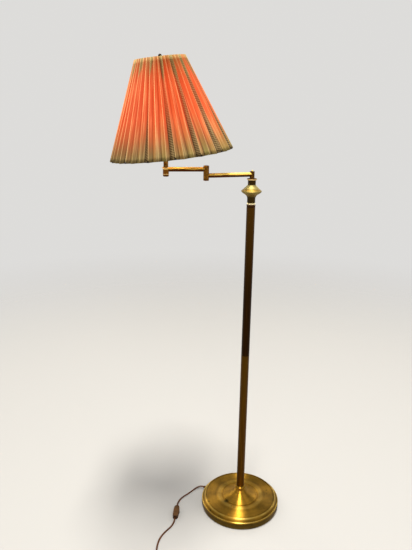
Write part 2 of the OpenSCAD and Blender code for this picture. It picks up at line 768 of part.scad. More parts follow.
module outer_arm_wire() {
    bend = 5;
    along = [cos(outer_yaw), sin(outer_yaw), 0];
    across = [-sin(outer_yaw), cos(outer_yaw), 0];
    axis = [elbow[0], elbow[1], 0];
    turn = axis + along * bend + [0, 0, outer_arm_z - bend];
    route = concat(
        [axis + [0, 0, inner_arm_z + wire_r + slip]],
        [for (i = [0:5]) let(a = 180 - 90 * i / 5) turn + along * bend * cos(a) + [0, 0, bend * sin(a)]],
        [[tip[0], tip[1], outer_arm_z]]
    );
    color("saddlebrown") swept(route, wire_d, wire_d, across);
}

// Lamp head

module at_tip() {
    translate([tip[0], tip[1], 0]) children();
}

module head_pipe() {
    color("silver") at_tip()
        slotted_pipe(cap_gap_z - end_cap_h + 1, socket_z + 5, outer_arm_z, outer_yaw + 180);
}

module riser_cap() {
    color("goldenrod") at_tip() foot_cap(end_r, cap_gap_z, end_cap_h);
}

module riser_tube() {
    color("goldenrod") at_tip() difference() {
        translate([0, 0, riser_z]) cylinder(r = riser_r, h = riser_h);
        translate([0, 0, riser_z - 1]) cylinder(r = pipe_hole_r, h = riser_h + 2);
    }
}

module harp_saddle() {
    half = saddle_w / 2;
    post_h = 15;
    color("goldenrod") at_tip() translate([0, 0, saddle_z]) difference() {
        union() {
            translate([-saddle_strip_w / 2, -half, 0]) cube([saddle_strip_w, saddle_w, saddle_t]);
            for (side = [-1, 1]) translate([0, side * half, 0]) {
                cylinder(r = saddle_strip_w / 2, h = saddle_t);
                cylinder(r = harp_wire_r - 0.1, h = post_h);
            }
        }
        translate([0, 0, -1]) cylinder(r = pipe_hole_r, h = saddle_t + 2);
    }
}

module saddle_nut() {
    color("silver") at_tip() translate([0, 0, saddle_nut_z]) hex_nut(15, saddle_nut_h, pipe_hole_r);
}

// The harp's own frame stands on the saddle and leans about the line through its feet
module on_harp() {
    at_tip() translate([0, 0, foot_z]) rotate([0, -harp_lean, 0]) children();
}

leg_foot = 14.1;
bow_z = harp_h - shoulder_h - harp_wire_r - harp_bow_r;

// Where the straight leg meets the round top, as an angle below the horizontal
function leg_angle() =
    let(dy = saddle_w / 2, dz = bow_z - leg_foot) acos(harp_bow_r / norm([dy, dz])) - atan2(dz, dy);

module harp() {
    a = leg_angle();
    touch = harp_bow_r * [cos(a), sin(a)] + [0, bow_z];
    color("goldenrod") on_harp() {
        translate([0, 0, bow_z]) rotate([90, 0, 90]) rotate([0, 0, a]) rotate_extrude(angle = 180 - 2 * a)
            translate([harp_bow_r, 0]) circle(r = harp_wire_r);
        for (side = [0, 1]) mirror([0, side, 0]) {
            bar([saddle_w / 2, leg_foot], touch, harp_wire_r);
            translate([0, touch[0], touch[1]]) sphere(r = harp_wire_r + 0.05);
        }
        translate([0, 0, harp_h - shoulder_h - harp_wire_r])
            cylinder(r = shoulder_r, h = shoulder_h + harp_wire_r);
        translate([0, 0, harp_h - 1]) cylinder(r = stud_r, h = stud_h + 1);
    }
}

// Short tubes that slide down over the joint between the harp and the saddle
module harp_ferrules() {
    color("gold") at_tip() for (side = [-1, 1]) translate([0, side * saddle_w / 2, foot_z]) difference() {
        rotate_extrude() polygon([
            [0, 0.3], [3.4, 0.3], [3.4, 1.6], [3, 2], [3, 12.6], [3.3, 13], [3.3, 13.6], [0, 13.6]
        ]);
        translate([0, 0, -1]) cylinder(r = harp_wire_r, h = 20);
    }
}

module socket_cap() {
    boss_r = 7;
    r = socket_r + 0.9;
    w = 0.8;
    h = socket_cap_h;
    color("goldenrod") at_tip() translate([0, 0, socket_z]) rotate_extrude() polygon(concat(
        [[pipe_hole_r, 0], [boss_r, 0], [boss_r, 5.4]],
        curve_pts([boss_r + 0.4, 6], [r - 0.6, 7.4], [r, h - 5], 8),
        [[r, h], [r - w, h], [r - w, h - 5]],
        curve_pts([r - w - 0.2, h - 6], [r - w - 1, 8.4], [boss_r - 0.6, 7], 7),
        [[pipe_hole_r, 7]]
    ));
}

module socket_shell() {
    w = 0.5;
    r = socket_r;
    h = socket_shell_h;
    color("goldenrod") at_tip() translate([0, 0, shell_z]) rotate_extrude() polygon(concat(
        [[r - w, 0], [r, 0], [r, 6]],
        arc_pts([r, 7], 0.7, -80, 80, 5),
        [[r, 8], [r, h - 4]],
        arc_pts([r - 0.2, h - 2], 0.9, -70, 70, 5),
        [[r, h], [r - w, h]]
    ));
}

module socket_liner() {
    color("tan") at_tip() translate([0, 0, shell_z + 1]) difference() {
        cylinder(r = socket_r - 0.5 - 0.1, h = socket_shell_h - 2.5);
        translate([0, 0, -1]) cylinder(r = socket_r - 1.3, h = socket_shell_h);
    }
}

module socket_insulator() {
    r = socket_r - 1.5;
    color([0.12, 0.1, 0.09]) at_tip() translate([0, 0, insulator_z]) difference() {
        union() {
            cylinder(r = r, h = insulator_h);
            translate([0, 0, insulator_h - 1]) cylinder(r = 3, h = 2.2);
        }
        for (side = [-1, 1]) translate([side * r, 0, 4]) cube([5, 8, 9], center = true);
        translate([0, 0, -1]) cylinder(r = wire_hole_r, h = 6);
    }
}

module screw_shell() {
    turns = 7;
    pitch = 3;
    low = bulb_cap_r + 0.25;
    high = socket_r - 1.5;
    h = turns * pitch;
    color("silver") at_tip() translate([0, 0, screw_z]) rotate_extrude() polygon(concat(
        [[low, 0]],
        [for (i = [0:turns - 1]) each [[low + 0.5, pitch * i + 0.4], [high, pitch * (i + 0.5)],
            [low + 0.5, pitch * (i + 1) - 0.4]]],
        [[low, h]]
    ));
}

module bulb_cap() {
    turns = 6;
    pitch = 3;
    r = bulb_cap_r;
    neck = bulb_cap_h - turns * pitch;
    color("silver") at_tip() translate([0, 0, bulb_z]) rotate_extrude() polygon(concat(
        [[0, 0], [4, 0], [5, 1], [5, 1.6], [r - 3, 3]],
        [for (i = [0:turns - 1]) each [[r - 0.8, 3.4 + pitch * i], [r, 3.4 + pitch * (i + 0.5)]]],
        [[r - 0.8, 3.4 + pitch * turns], [r - 0.4, bulb_cap_h], [r - 1.4, bulb_cap_h],
            [r - 1.6, neck], [0, neck]]
    ));
}

module bulb_glass() {
    neck_r = bulb_cap_r - 1.6;
    w = 0.8;
    ball_z = bulb_h - bulb_r;
    tuck = 2;
    color([1, 0.9, 0.75]) at_tip() translate([0, 0, glass_z]) rotate_extrude() polygon(concat(
        [[neck_r - w, -tuck], [neck_r, -tuck], [neck_r, 3]],
        curve_pts([neck_r, 6], [neck_r + 1, ball_z * 0.5], [bulb_r * cos(-28), ball_z + bulb_r * sin(-28)]),
        arc_pts([0, ball_z], bulb_r, -20, 90, 12),
        arc_pts([0, ball_z], bulb_r - w, 90, -20, 12),
        curve_pts([(bulb_r - w) * cos(-28), ball_z + (bulb_r - w) * sin(-28)],
            [neck_r + 1 - w, ball_z * 0.5], [neck_r - w, 6])
    ));
}

module head_wire() {
    color("saddlebrown") at_tip() swept(
        [[0, 0, outer_arm_z + wire_r + slip], [0, 0, insulator_z + 4]], wire_d, wire_d, [1, 0, 0]);
}

module finial() {
    ball_r = 5;
    h = 13.4;
    color("darkgoldenrod") on_harp() translate([0, 0, harp_h + finial_lift]) difference() {
        rotate_extrude() polygon(concat(
            [[0, 0], [5.2, 0], [5.2, 1.2], [4.2, 2], [3.9, 3.6]],
            arc_pts([0, h - ball_r], ball_r, -38, 90, 8)
        ));
        translate([0, 0, -1]) cylinder(r = stud_r + still_fit, h = stud_h - finial_lift + 1.4);
    }
}

// The shade's own frame hangs from its seat on the harp and tips further than the harp leans
module on_seat() {
    on_harp() translate([0, 0, harp_h + seat_gap]) rotate([0, harp_lean - shade_tip, 0])
        translate([0, 0, seat_drop - shade_h]) children();
}

module wire_ring(r, z) {
    translate([0, 0, z]) rotate_extrude() translate([r, 0]) circle(r = frame_wire_d / 2);
}

module shade_spider() {
    seat_z = shade_h - seat_drop;
    rise = seat_drop - frame_inset;
    reach = top_ring_r - seat_r + 1.4;
    color("gold") on_seat() {
        wire_ring(top_ring_r, shade_h - frame_inset);
        translate([0, 0, seat_z]) difference() {
            cylinder(r = seat_r, h = seat_t);
            translate([0, 0, -1]) cylinder(r = stud_r + 0.9, h = seat_t + 2);
        }
        for (i = [0:2]) rotate([0, 0, 120 * i]) translate([seat_r - 1.4, 0, seat_z + seat_t / 2])
            rotate([0, 90 - atan2(rise - seat_t / 2, reach), 0])
                cylinder(r = frame_wire_d / 2 - 0.4, h = reach);
    }
}

module shade_bottom_ring() {
    color("gold") on_seat() wire_ring(foot_ring_r, frame_inset);
}

module shade_ribs() {
    run = foot_ring_r - top_ring_r;
    rise = shade_h - 2 * frame_inset;
    margin = frame_wire_d / 2;
    lean = atan2(run, rise);
    foot = [foot_ring_r - margin * sin(lean), 0, frame_inset + margin * cos(lean)];
    color("gold") on_seat() for (i = [0:rib_count - 1])
        rotate([0, 0, pleat_phase + 360 * (i + 0.5) / rib_count]) translate(foot) rotate([0, -lean, 0])
            cylinder(r = frame_wire_d / 2 - 0.5, h = norm([run, rise]) - 2 * margin);
}

// One ring of the pleats: ridge and fold by turns, with every third fold deeper
function pleat_ring(r, inward, z) = [for (i = [0:pleats - 1], k = [0, 1])
    let(a = pleat_phase + 360 * (i + k / 2) / pleats,
        depth = k == 1 ? 0 : fold_depth(r) + (i % 3 == 0 ? deep_fold : 0),
        d = r - depth - inward)
    [d * cos(a), d * sin(a), z]];

module pleated_shade() {
    n = 2 * pleats;
    foot_in = wall_in(shade_foot_r);
    top_in = wall_in(shade_top_r);
    points = concat(
        pleat_ring(shade_foot_r, 0, 0), pleat_ring(shade_top_r, 0, shade_h),
        pleat_ring(shade_foot_r, foot_in, 0), pleat_ring(shade_top_r, top_in, shade_h)
    );
    faces = [for (k = [0:n - 1]) let(m = (k + 1) % n) each [
        [k, n + m, m], [k, n + k, n + m],
        [2 * n + k, 2 * n + m, 3 * n + m], [2 * n + k, 3 * n + m, 3 * n + k],
        [n + k, 3 * n + k, 3 * n + m], [n + k, 3 * n + m, n + m],
        [k, 2 * n + m, 2 * n + k], [k, m, 2 * n + m]
    ]];
    color("coral") on_seat() polyhedron(points = points, faces = faces);
}

// Cord and what is on it

module supply_cord() {
    color("saddlebrown") swept(supply_route, cord_w, cord_t);
}

module lead_cord() {
    color("saddlebrown") swept(lead_route, cord_w, cord_t);
}

module on_switch() {
    translate([switch_at[0], switch_at[1], 0]) rotate([0, 0, switch_yaw]) children();
}

// Outline of the switch in plan: rounded ends and nearly straight sides
module switch_outline(inset) {
    l = switch_l / 2 - inset;
    w = switch_w / 2 - inset;
    nose = 4.2 - inset;
    side = curve_pts([l, nose], [l - 3, w], [l - 13, w], 6);
    polygon(concat(
        side, [for (i = [6:-1:0]) [-side[i][0], side[i][1]]],
        [for (p = side) -p], [for (i = [6:-1:0]) [side[i][0], -side[i][1]]]
    ));
}

wheel_off = 3.4;
axle_r = 1.5;
axle_end = 1.2;
wheel_room = wheel_r + 0.5;

module switch_half(low, high, floor_low) {
    difference() {
        translate([0, 0, low]) linear_extrude(high - low) switch_outline(0);
        translate([0, 0, floor_low ? low + 2 : low - 1]) linear_extrude(high - low - 1) switch_outline(2);
        translate([0, wheel_off, switch_mid])
            cylinder(r = wheel_room, h = wheel_t + 2 * slip, center = true);
        translate([0, wheel_off, switch_mid])
            cylinder(r = axle_r + run_fit, h = 2 * (switch_mid - axle_end), center = true);
        for (side = [-1, 1]) translate([side * switch_l / 2, 0, switch_mid])
            cube([6, cord_w + 0.4, cord_t + 0.4], center = true);
    }
}

module switch_base() {
    color("sienna") on_switch() switch_half(floor_gap, switch_mid, true);
}

module switch_cover() {
    color("peru") on_switch() switch_half(switch_mid, switch_h, false);
}

module switch_contacts() {
    color("gold") on_switch() for (side = [-1, 1]) translate([side * 15, -3, floor_gap + 2]) {
        translate([-4, -2, 0]) cube([8, 4, 0.8]);
        translate([0, 0, 0.7]) cylinder(r = 1.8, h = 1.4);
    }
}

module switch_wheel() {
    notches = 20;
    color("black") on_switch() translate([0, wheel_off, switch_mid - wheel_t / 2]) {
        difference() {
            cylinder(r = wheel_r, h = wheel_t);
            for (i = [0:notches - 1]) rotate([0, 0, 360 * i / notches]) translate([wheel_r, 0, -1])
                cylinder(r = 0.5, h = wheel_t + 2);
        }
        translate([0, 0, wheel_t / 2])
            cylinder(r = axle_r, h = 2 * (switch_mid - axle_end - 0.1), center = true);
    }
}

module cord_coil() {
    color("saddlebrown") translate([coil_at[0], coil_at[1], floor_gap]) rotate_extrude()
        translate([coil_in_r, 0]) square([coil_out_r - coil_in_r, coil_h]);
}

module on_plug() {
    translate([plug_at[0], plug_at[1], plug_h / 2]) rotate([0, 0, plug_yaw]) children();
}

module plug_body() {
    half = plug_w / 2;
    color("sienna") {
        on_plug() {
            translate([0, 0, floor_gap - plug_h / 2]) linear_extrude(plug_h - floor_gap) polygon(concat(
                [[0, -4.5]], curve_pts([1, -6], [6, -7], [plug_l - 9, -half], 5),
                [[plug_l, -half], [plug_l, half]],
                curve_pts([plug_l - 9, half], [6, 7], [1, 6], 5), [[0, 4.5]]
            ));
            translate([-relief_l, 0, 0]) rotate([0, 90, 0]) cylinder(r1 = 3.4, r2 = 4.6, h = relief_l);
        }
        swept(tail_route, cord_w, cord_t);
    }
}

module plug_blades() {
    color("gold") on_plug() for (side = [-1, 1]) translate([plug_l, side * 6.35, 0]) difference() {
        translate([-6, -0.75, -3.15]) cube([6 + 17, 1.5, 6.3]);
        translate([13, 0, 0]) rotate([90, 0, 0]) cylinder(r = 1.5, h = 4, center = true);
    }
}

base_shell();
base_weight();
base_felt();
cord_bushing();
base_pipe();
base_washer();
base_locknut();
base_collar();
pole_foot_plug();
lower_pole();
pole_coupler();
upper_pole();
pole_head_plug();
pole_ring();
vase_pipe();
vase_lower();
vase_upper();
neck_cap();
pivot_post();
hub_screw();
pole_wire();
pivot_hub();
inner_arm_tube();
elbow_lower_knuckle();
inner_arm_wire();
elbow_upper_knuckle();
elbow_pin();
elbow_cap();
outer_arm_tube();
end_knuckle();
outer_arm_wire();
head_pipe();
riser_tube();
riser_cap();
harp_saddle();
saddle_nut();
harp();
harp_ferrules();
socket_cap();
socket_shell();
socket_liner();
socket_insulator();
screw_shell();
bulb_cap();
bulb_glass();
head_wire();
finial();
shade_spider();
shade_bottom_ring();
shade_ribs();
pleated_shade();
supply_cord();
switch_base();
switch_cover();
switch_contacts();
switch_wheel();
lead_cord();
cord_coil();
plug_body();
plug_blades();
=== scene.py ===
import math

import bmesh
import bpy
from mathutils import Matrix, Vector


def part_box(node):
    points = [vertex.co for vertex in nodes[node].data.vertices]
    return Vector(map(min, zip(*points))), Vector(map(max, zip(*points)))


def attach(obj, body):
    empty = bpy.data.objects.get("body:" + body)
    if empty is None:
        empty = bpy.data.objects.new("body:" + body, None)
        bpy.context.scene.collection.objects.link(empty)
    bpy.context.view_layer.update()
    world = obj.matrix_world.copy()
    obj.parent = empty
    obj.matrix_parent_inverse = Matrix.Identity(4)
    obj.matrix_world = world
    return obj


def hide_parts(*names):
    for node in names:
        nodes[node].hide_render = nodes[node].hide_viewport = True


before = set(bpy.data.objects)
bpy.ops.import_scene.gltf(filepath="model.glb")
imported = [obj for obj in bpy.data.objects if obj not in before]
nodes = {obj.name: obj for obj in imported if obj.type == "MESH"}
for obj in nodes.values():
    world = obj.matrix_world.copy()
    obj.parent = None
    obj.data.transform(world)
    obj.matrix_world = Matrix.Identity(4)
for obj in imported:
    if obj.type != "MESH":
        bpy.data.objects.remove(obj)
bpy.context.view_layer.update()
print("stage: frame loaded,", len(nodes), "nodes")

cameraSettings = {"place": (-0.12486, -1.62689, 1.32326), "down": 17.64, "roll": 0.87, "lens": 37.83,
                  "far": 60}


def newObject(name, data):
    obj = bpy.data.objects.new(name, data)
    bpy.context.scene.collection.objects.link(obj)
    return obj


def makeCamera(s):
    camera = newObject("camera", bpy.data.cameras.new("camera"))
    camera.data.lens = s["lens"]
    camera.data.clip_end = s["far"]
    pitch = Matrix.Rotation(math.radians(90 - s["down"]), 4, "X")
    roll = Matrix.Rotation(math.radians(s["roll"]), 4, "Z")
    camera.matrix_world = Matrix.Translation(s["place"]) @ pitch @ roll
    bpy.context.scene.camera = camera


makeCamera(cameraSettings)
bpy.context.scene.view_settings.view_transform = "Standard"


def linear(hexColour):
    parts = [int(hexColour[i:i + 2], 16) / 255 for i in (1, 3, 5)]
    return (*[c / 12.92 if c <= 0.04045 else ((c + 0.055) / 1.055) ** 2.4 for c in parts], 1)


def finishPiece(name, bm, material, body, smooth=True):
    mesh = bpy.data.meshes.new(name)
    bm.to_mesh(mesh)
    bm.free()
    obj = newObject(name, mesh)
    for m in (material if isinstance(material, list) else [material]):
        mesh.materials.append(m)
    for face in mesh.polygons:
        face.use_smooth = smooth
    if body:
        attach(obj, body)
    return obj


def newMaterial(name):
    material = bpy.data.materials.new(name)
    material.use_nodes = True
    tree = material.node_tree
    tree.nodes.clear()
    out = tree.nodes.new("ShaderNodeOutputMaterial")
    shader = tree.nodes.new("ShaderNodeBsdfPrincipled")
    tree.links.new(shader.outputs[0], out.inputs[0])
    return material, tree, shader


def setInputs(tree, made, values):
    for key, value in values.items():
        if isinstance(value, bpy.types.NodeSocket):
            tree.links.new(value, made.inputs[key])
        else:
            made.inputs[key].default_value = value
    return made


def node(tree, kind, values=None, **settings):
    made = tree.nodes.new(kind)
    for key, value in settings.items():
        setattr(made, key, value)
    return setInputs(tree, made, values or {})


def sums(tree, operation, a, b=0.0, c=0.0, clamp=False):
    return node(tree, "ShaderNodeMath", {0: a, 1: b, 2: c}, operation=operation, use_clamp=clamp).outputs[0]


def distance(tree, x, y):
    squares = sums(tree, "ADD", sums(tree, "MULTIPLY", x, x), sums(tree, "MULTIPLY", y, y))
    return sums(tree, "SQRT", squares)


def offset(tree, value, middle):
    return sums(tree, "ABSOLUTE", sums(tree, "SUBTRACT", value, middle))


def between(tree, value, low, high):
    # 0 at low and below it, 1 at high and past it
    return node(tree, "ShaderNodeMapRange", {0: value, 1: low, 2: high}).outputs[0]


def noise(tree, place, scale, **values):
    return node(tree, "ShaderNodeTexNoise", {"Vector": place, "Scale": scale, **values}).outputs[0]


def split(tree, place):
    return node(tree, "ShaderNodeSeparateXYZ", {0: place}).outputs


def joined(tree, *parts):
    return node(tree, "ShaderNodeCombineXYZ", dict(enumerate(parts))).outputs[0]


def length(tree, place):
    return node(tree, "ShaderNodeVectorMath", {0: place}, operation="LENGTH").outputs["Value"]


def flattened(tree, place):
    return node(tree, "ShaderNodeVectorMath", {0: place, 1: (1, 1, 0)}, operation="MULTIPLY").outputs[0]


def stretched(tree, place, scale):
    return node(tree, "ShaderNodeMapping", {"Vector": place, "Scale": scale}).outputs[0]


def ramp(tree, factor, stops, mode="LINEAR"):
    made = node(tree, "ShaderNodeValToRGB", {0: factor})
    band = made.color_ramp
    band.interpolation = mode
    while len(band.elements) < len(stops):
        band.elements.new(0.5)
    for element, (place, colour) in zip(band.elements, stops):
        element.position = place
        element.color = colour if len(colour) == 4 else (*colour, 1)
    return made.outputs[0]


def tones(stops):
    return [(at, linear(tone)) for at, tone in stops]


def greys(stops):
    return [(at, (value,) * 3) for at, value in stops]


def mixColour(tree, factor, a, b):
    return node(tree, "ShaderNodeMix", {0: factor, 6: a, 7: b}, data_type="RGBA").outputs[2]


lowRelief = 0.0002  # metres that a full bump stands up
highRelief = 0.0003


def addBump(tree, shader, height, strength, depth):
    bump = node(tree, "ShaderNodeBump", {"Height": height, "Strength": strength, "Distance": depth})
    tree.links.new(bump.outputs[0], shader.inputs["Normal"])


def objectPlace(tree):
    return node(tree, "ShaderNodeTexCoord").outputs["Object"]


def groupTree(name, inputs, outputs):
    tree = bpy.data.node_groups.new(name, "ShaderNodeTree")
    for side, sockets in (("INPUT", inputs), ("OUTPUT", outputs)):
        for label, kind in sockets:
            tree.interface.new_socket(name=label, in_out=side, socket_type=kind)
    return tree, tree.nodes.new("NodeGroupInput").outputs, tree.nodes.new("NodeGroupOutput").inputs


def useGroup(tree, group, values):
    made = tree.nodes.new("ShaderNodeGroup")
    made.node_tree = group
    return setInputs(tree, made, values).outputs


patinaLook = {
    "fine": 420.0, "gate": 22.0, "cloudy": [(0.36, 0), (0.66, 1)], "cells": [(0.06, 1), (0.16, 0)],
    "gated": [(0.54, 0), (0.66, 1)],
    # how far fine marks dull the colour, and what each part adds to the roughness and the height
    "dulled": 0.18, "cloudRough": 0.16, "fineRough": 0.08, "speckRough": 0.35,
    "fineHeight": 0.35, "speckHeight": -0.6}


def makePatina(s):
    # cloudy tarnish over bare metal, with small dark specks and fine marks
    tree, given, out = groupTree(
        "patina",
        [("Place", "NodeSocketVector"), ("Bright", "NodeSocketColor"), ("Dull", "NodeSocketColor"),
         ("Speck", "NodeSocketColor"), ("Cloud Scale", "NodeSocketFloat"),
         ("Speck Scale", "NodeSocketFloat"), ("Speck Amount", "NodeSocketFloat"),
         ("Gloss", "NodeSocketFloat")],
        [("Color", "NodeSocketColor"), ("Roughness", "NodeSocketFloat"), ("Height", "NodeSocketFloat")])
    place = given["Place"]
    cloud = noise(tree, place, given["Cloud Scale"], Detail=6.0, Roughness=0.62, Distortion=0.4)
    cloudMask = ramp(tree, cloud, greys(s["cloudy"]))
    fine = noise(tree, place, s["fine"], Detail=3.0)
    cells = node(tree, "ShaderNodeTexVoronoi", {"Vector": place, "Scale": given["Speck Scale"]}).outputs[0]
    gate = noise(tree, place, s["gate"], Detail=2.0)
    speck = sums(tree, "MULTIPLY", ramp(tree, cells, greys(s["cells"])),
                 ramp(tree, gate, greys(s["gated"])))
    speck = sums(tree, "MULTIPLY", speck, given["Speck Amount"], clamp=True)
    base = mixColour(tree, cloudMask, given["Bright"], given["Dull"])
    base = mixColour(tree, sums(tree, "MULTIPLY", fine, s["dulled"]), base, given["Dull"])
    tree.links.new(mixColour(tree, speck, base, given["Speck"]), out["Color"])
    rough = sums(tree, "MULTIPLY_ADD", cloudMask, s["cloudRough"], given["Gloss"])
    rough = sums(tree, "MULTIPLY_ADD", fine, s["fineRough"], rough)
    rough = sums(tree, "MULTIPLY_ADD", speck, s["speckRough"], rough, clamp=True)
    tree.links.new(rough, out["Roughness"])
    marks = sums(tree, "MULTIPLY", fine, s["fineHeight"])
    tree.links.new(sums(tree, "MULTIPLY_ADD", speck, s["speckHeight"], marks), out["Height"])
    return tree


def makeSpinLines():
    # fine rings left by the spinning tool, round a vertical axis
    tree, given, out = groupTree(
        "spinLines",
        [("Place", "NodeSocketVector"), ("Density", "NodeSocketFloat")],
        [("Height", "NodeSocketFloat")])
    parts = split(tree, given["Place"])
    line = joined(tree, distance(tree, parts[0], parts[1]), sums(tree, "MULTIPLY", parts[2], 0.6))
    tree.links.new(noise(tree, line, given["Density"], Detail=3.0), out["Height"])
    return tree


def makeGrain():
    # short streaks along one axis, as drawing leaves them on a tube
    tree, given, out = groupTree(
        "drawnGrain",
        [("Place", "NodeSocketVector"), ("Stretch", "NodeSocketVector")],
        [("Value", "NodeSocketFloat")])
    scaled = node(tree, "ShaderNodeVectorMath", {0: given["Place"], 1: given["Stretch"]},
                  operation="MULTIPLY").outputs[0]
    tree.links.new(noise(tree, scaled, 1.0, Detail=4.0, Roughness=0.6), out["Value"])
    return tree


patina = makePatina(patinaLook)
spinLines = makeSpinLines()
drawnGrain = makeGrain()


# the same on every metal that has the step
stainLook = {"scale": 260.0, "drift": 1.2, "spread": 2.2, "core": 0.42, "half": (0.62, 0.45), "edge": 0.8}
bandsAndReflectionsShow = 0.96
ringLook = {"density": 420.0, "clear": 0.46, "dark": 0.62}
# how the painted shade on the underside of a tube is spread
undersideLook = {"scale": 26.0, "wave": (0.9, -0.45), "facing": (0.22, -0.08)}


def addStains(tree, place, colour, s):
    # round spots where the metal has gone dark
    look = stainLook
    parts = split(tree, place)
    wander = noise(tree, place, look["scale"])
    at, kept = look["half"]
    for x, y, radius, depth in s["stains"]:
        away = distance(tree, sums(tree, "SUBTRACT", parts[0], x), sums(tree, "SUBTRACT", parts[1], y))
        away = sums(tree, "MULTIPLY_ADD", wander, radius * look["drift"], away)
        share = sums(tree, "DIVIDE", away, radius * look["spread"])
        spot = ramp(tree, share, greys([(look["core"], depth), (at, depth * kept), (look["edge"], 0.0)]))
        colour = mixColour(tree, spot, colour, linear(s["speck"]))
    return colour


def addBandsAndReflections(tree, place, colour, s):
    # turned rings and necks in bands up the height: painted highlights and painted dark reflections over
    # the metal's own tones
    low, high, stops = s["bandsAndReflections"]
    height = between(tree, split(tree, place)[2], low, high)
    return mixColour(tree, bandsAndReflectionsShow, colour, ramp(tree, height, tones(stops)))


def addTurnedRings(tree, place, colour, s):
    # grooves keep their tarnish, and raised rings are rubbed bright and carry a painted highlight
    rings = s["turned"]
    away = sums(tree, "DIVIDE", length(tree, flattened(tree, place)), rings["reach"])
    colour = mixColour(tree, ramp(tree, away, greys(rings["grooves"])), colour, linear(s["speck"]))
    scale, gain, lift = rings["worn"]
    worn = sums(tree, "MULTIPLY_ADD", noise(tree, place, scale), gain, lift)
    crest = sums(tree, "MULTIPLY", ramp(tree, away, greys(rings["crests"])), worn, clamp=True)
    return mixColour(tree, crest, colour, linear(rings["rubbedAndHighlight"]))


def addDarkWallReflection(tree, place, colour, s):
    # the upright wall below the rolled edge is painted darker, a painted dark reflection of the floor
    wall = s["wall"]
    low = between(tree, split(tree, place)[2], wall["top"], wall["foot"])
    return mixColour(tree, sums(tree, "MULTIPLY", low, wall["depth"]), colour, linear(wall["tone"]))


def addSpinRings(tree, place, colour, s):
    # fine dark rings where the tool's marks hold tarnish
    rings = useGroup(tree, spinLines, {"Place": place, "Density": ringLook["density"]})["Height"]
    mask = ramp(tree, rings, greys([(ringLook["clear"], 0.0), (ringLook["dark"], s["rings"])]))
    return mixColour(tree, mask, colour, linear(s["dull"]))


def addPaintedUnderShade(tree, place, colour, s):
    # painted shade: the underside of a tube is painted darker, where less light falls on it
    facing = split(tree, node(tree, "ShaderNodeTexCoord").outputs["Normal"])
    cloud = noise(tree, place, undersideLook["scale"], Detail=1.0)
    wave = sums(tree, "MULTIPLY_ADD", cloud, *undersideLook["wave"])
    low = between(tree, sums(tree, "ADD", facing[2], wave), *undersideLook["facing"])
    return mixColour(tree, low, colour, linear(s["under"]))


wearSteps = {"stains": addStains, "bandsAndReflections": addBandsAndReflections, "turned": addTurnedRings, "wall": addDarkWallReflection,
             "rings": addSpinRings, "under": addPaintedUnderShade}


def metal(name, s):
    # brass, steel or plated, under its own patina
    material, tree, shader = newMaterial(name)
    place = objectPlace(tree)
    look = useGroup(tree, patina, {
        "Place": place, "Bright": linear(s["bright"]), "Dull": linear(s["dull"]),
        "Speck": linear(s["speck"]), "Cloud Scale": s["cloud"], "Speck Scale": s["speckScale"],
        "Speck Amount": s["speckAmount"], "Gloss": s["gloss"]})
    colour = look["Color"]
    for key, addWear in wearSteps.items():
        if key in s:
            colour = addWear(tree, place, colour, s)
    tree.links.new(colour, shader.inputs["Base Color"])
    tree.links.new(look["Roughness"], shader.inputs["Roughness"])
    shader.inputs["Metallic"].default_value = 1.0
    height = look["Height"]
    if "spun" in s:
        rings = useGroup(tree, spinLines, {"Place": place, "Density": s["spun"]})["Height"]
        height = sums(tree, "ADD", height, rings)
    addBump(tree, shader, height, s["bump"], highRelief)
    if "brushed" in s:
        # the spinning marks spread a reflection outwards from the middle
        outward = node(tree, "ShaderNodeVectorMath", {0: flattened(tree, place)}, operation="NORMALIZE")
        tree.links.new(outward.outputs[0], shader.inputs["Tangent"])
        shader.inputs["Anisotropic"].default_value = s["brushed"]
    return material


baseBrass = {
    "bright": "#AE802A", "dull": "#72561A", "speck": "#2A2A12", "cloud": 11.0, "speckScale": 46.0,
    "speckAmount": 0.75, "gloss": 0.36, "bump": 0.16, "spun": 1200.0, "rings": 0.4, "brushed": 1.0,
    # grooves and crests by radius, as a share of the reach, and worn is the scale, gain and lift of the
    # noise that sets how bright each crest is painted, rubbed wear with a painted highlight on it
    "turned": {
        "reach": 0.127, "rubbedAndHighlight": "#F0D070", "worn": (30.0, 1.6, -0.25),
        "grooves": [(0.0, 0.0), (0.435, 0.0), (0.449, 0.3), (0.463, 0.0), (0.60, 0.0), (0.64, 0.25),
                    (0.69, 0.0), (0.862, 0.0), (0.880, 0.6), (0.896, 0.0), (0.935, 0.0), (0.953, 0.45),
                    (0.966, 0.0), (0.992, 0.0), (0.998, 0.22)],
        "crests": [(0.475, 0.0), (0.52, 0.2), (0.57, 0.2), (0.61, 0.0), (0.898, 0.0), (0.91, 0.55),
                   (0.925, 0.55), (0.938, 0.0), (0.968, 0.0), (0.977, 1.0), (0.988, 1.0), (0.994, 0.0)]},
    # a painted dark reflection on the upright wall
    "wall": {"top": 0.0225, "foot": 0.0195, "depth": 0.85, "tone": "#3A2C10"},
    # place across the floor, radius and depth of each spot
    "stains": [(-0.048, -0.035, 0.0085, 0.95), (-0.104, -0.037, 0.0048, 0.85),
               (-0.100, -0.070, 0.0036, 0.8), (-0.030, -0.060, 0.0040, 0.6),
               (-0.022, -0.066, 0.0036, 0.55)]}
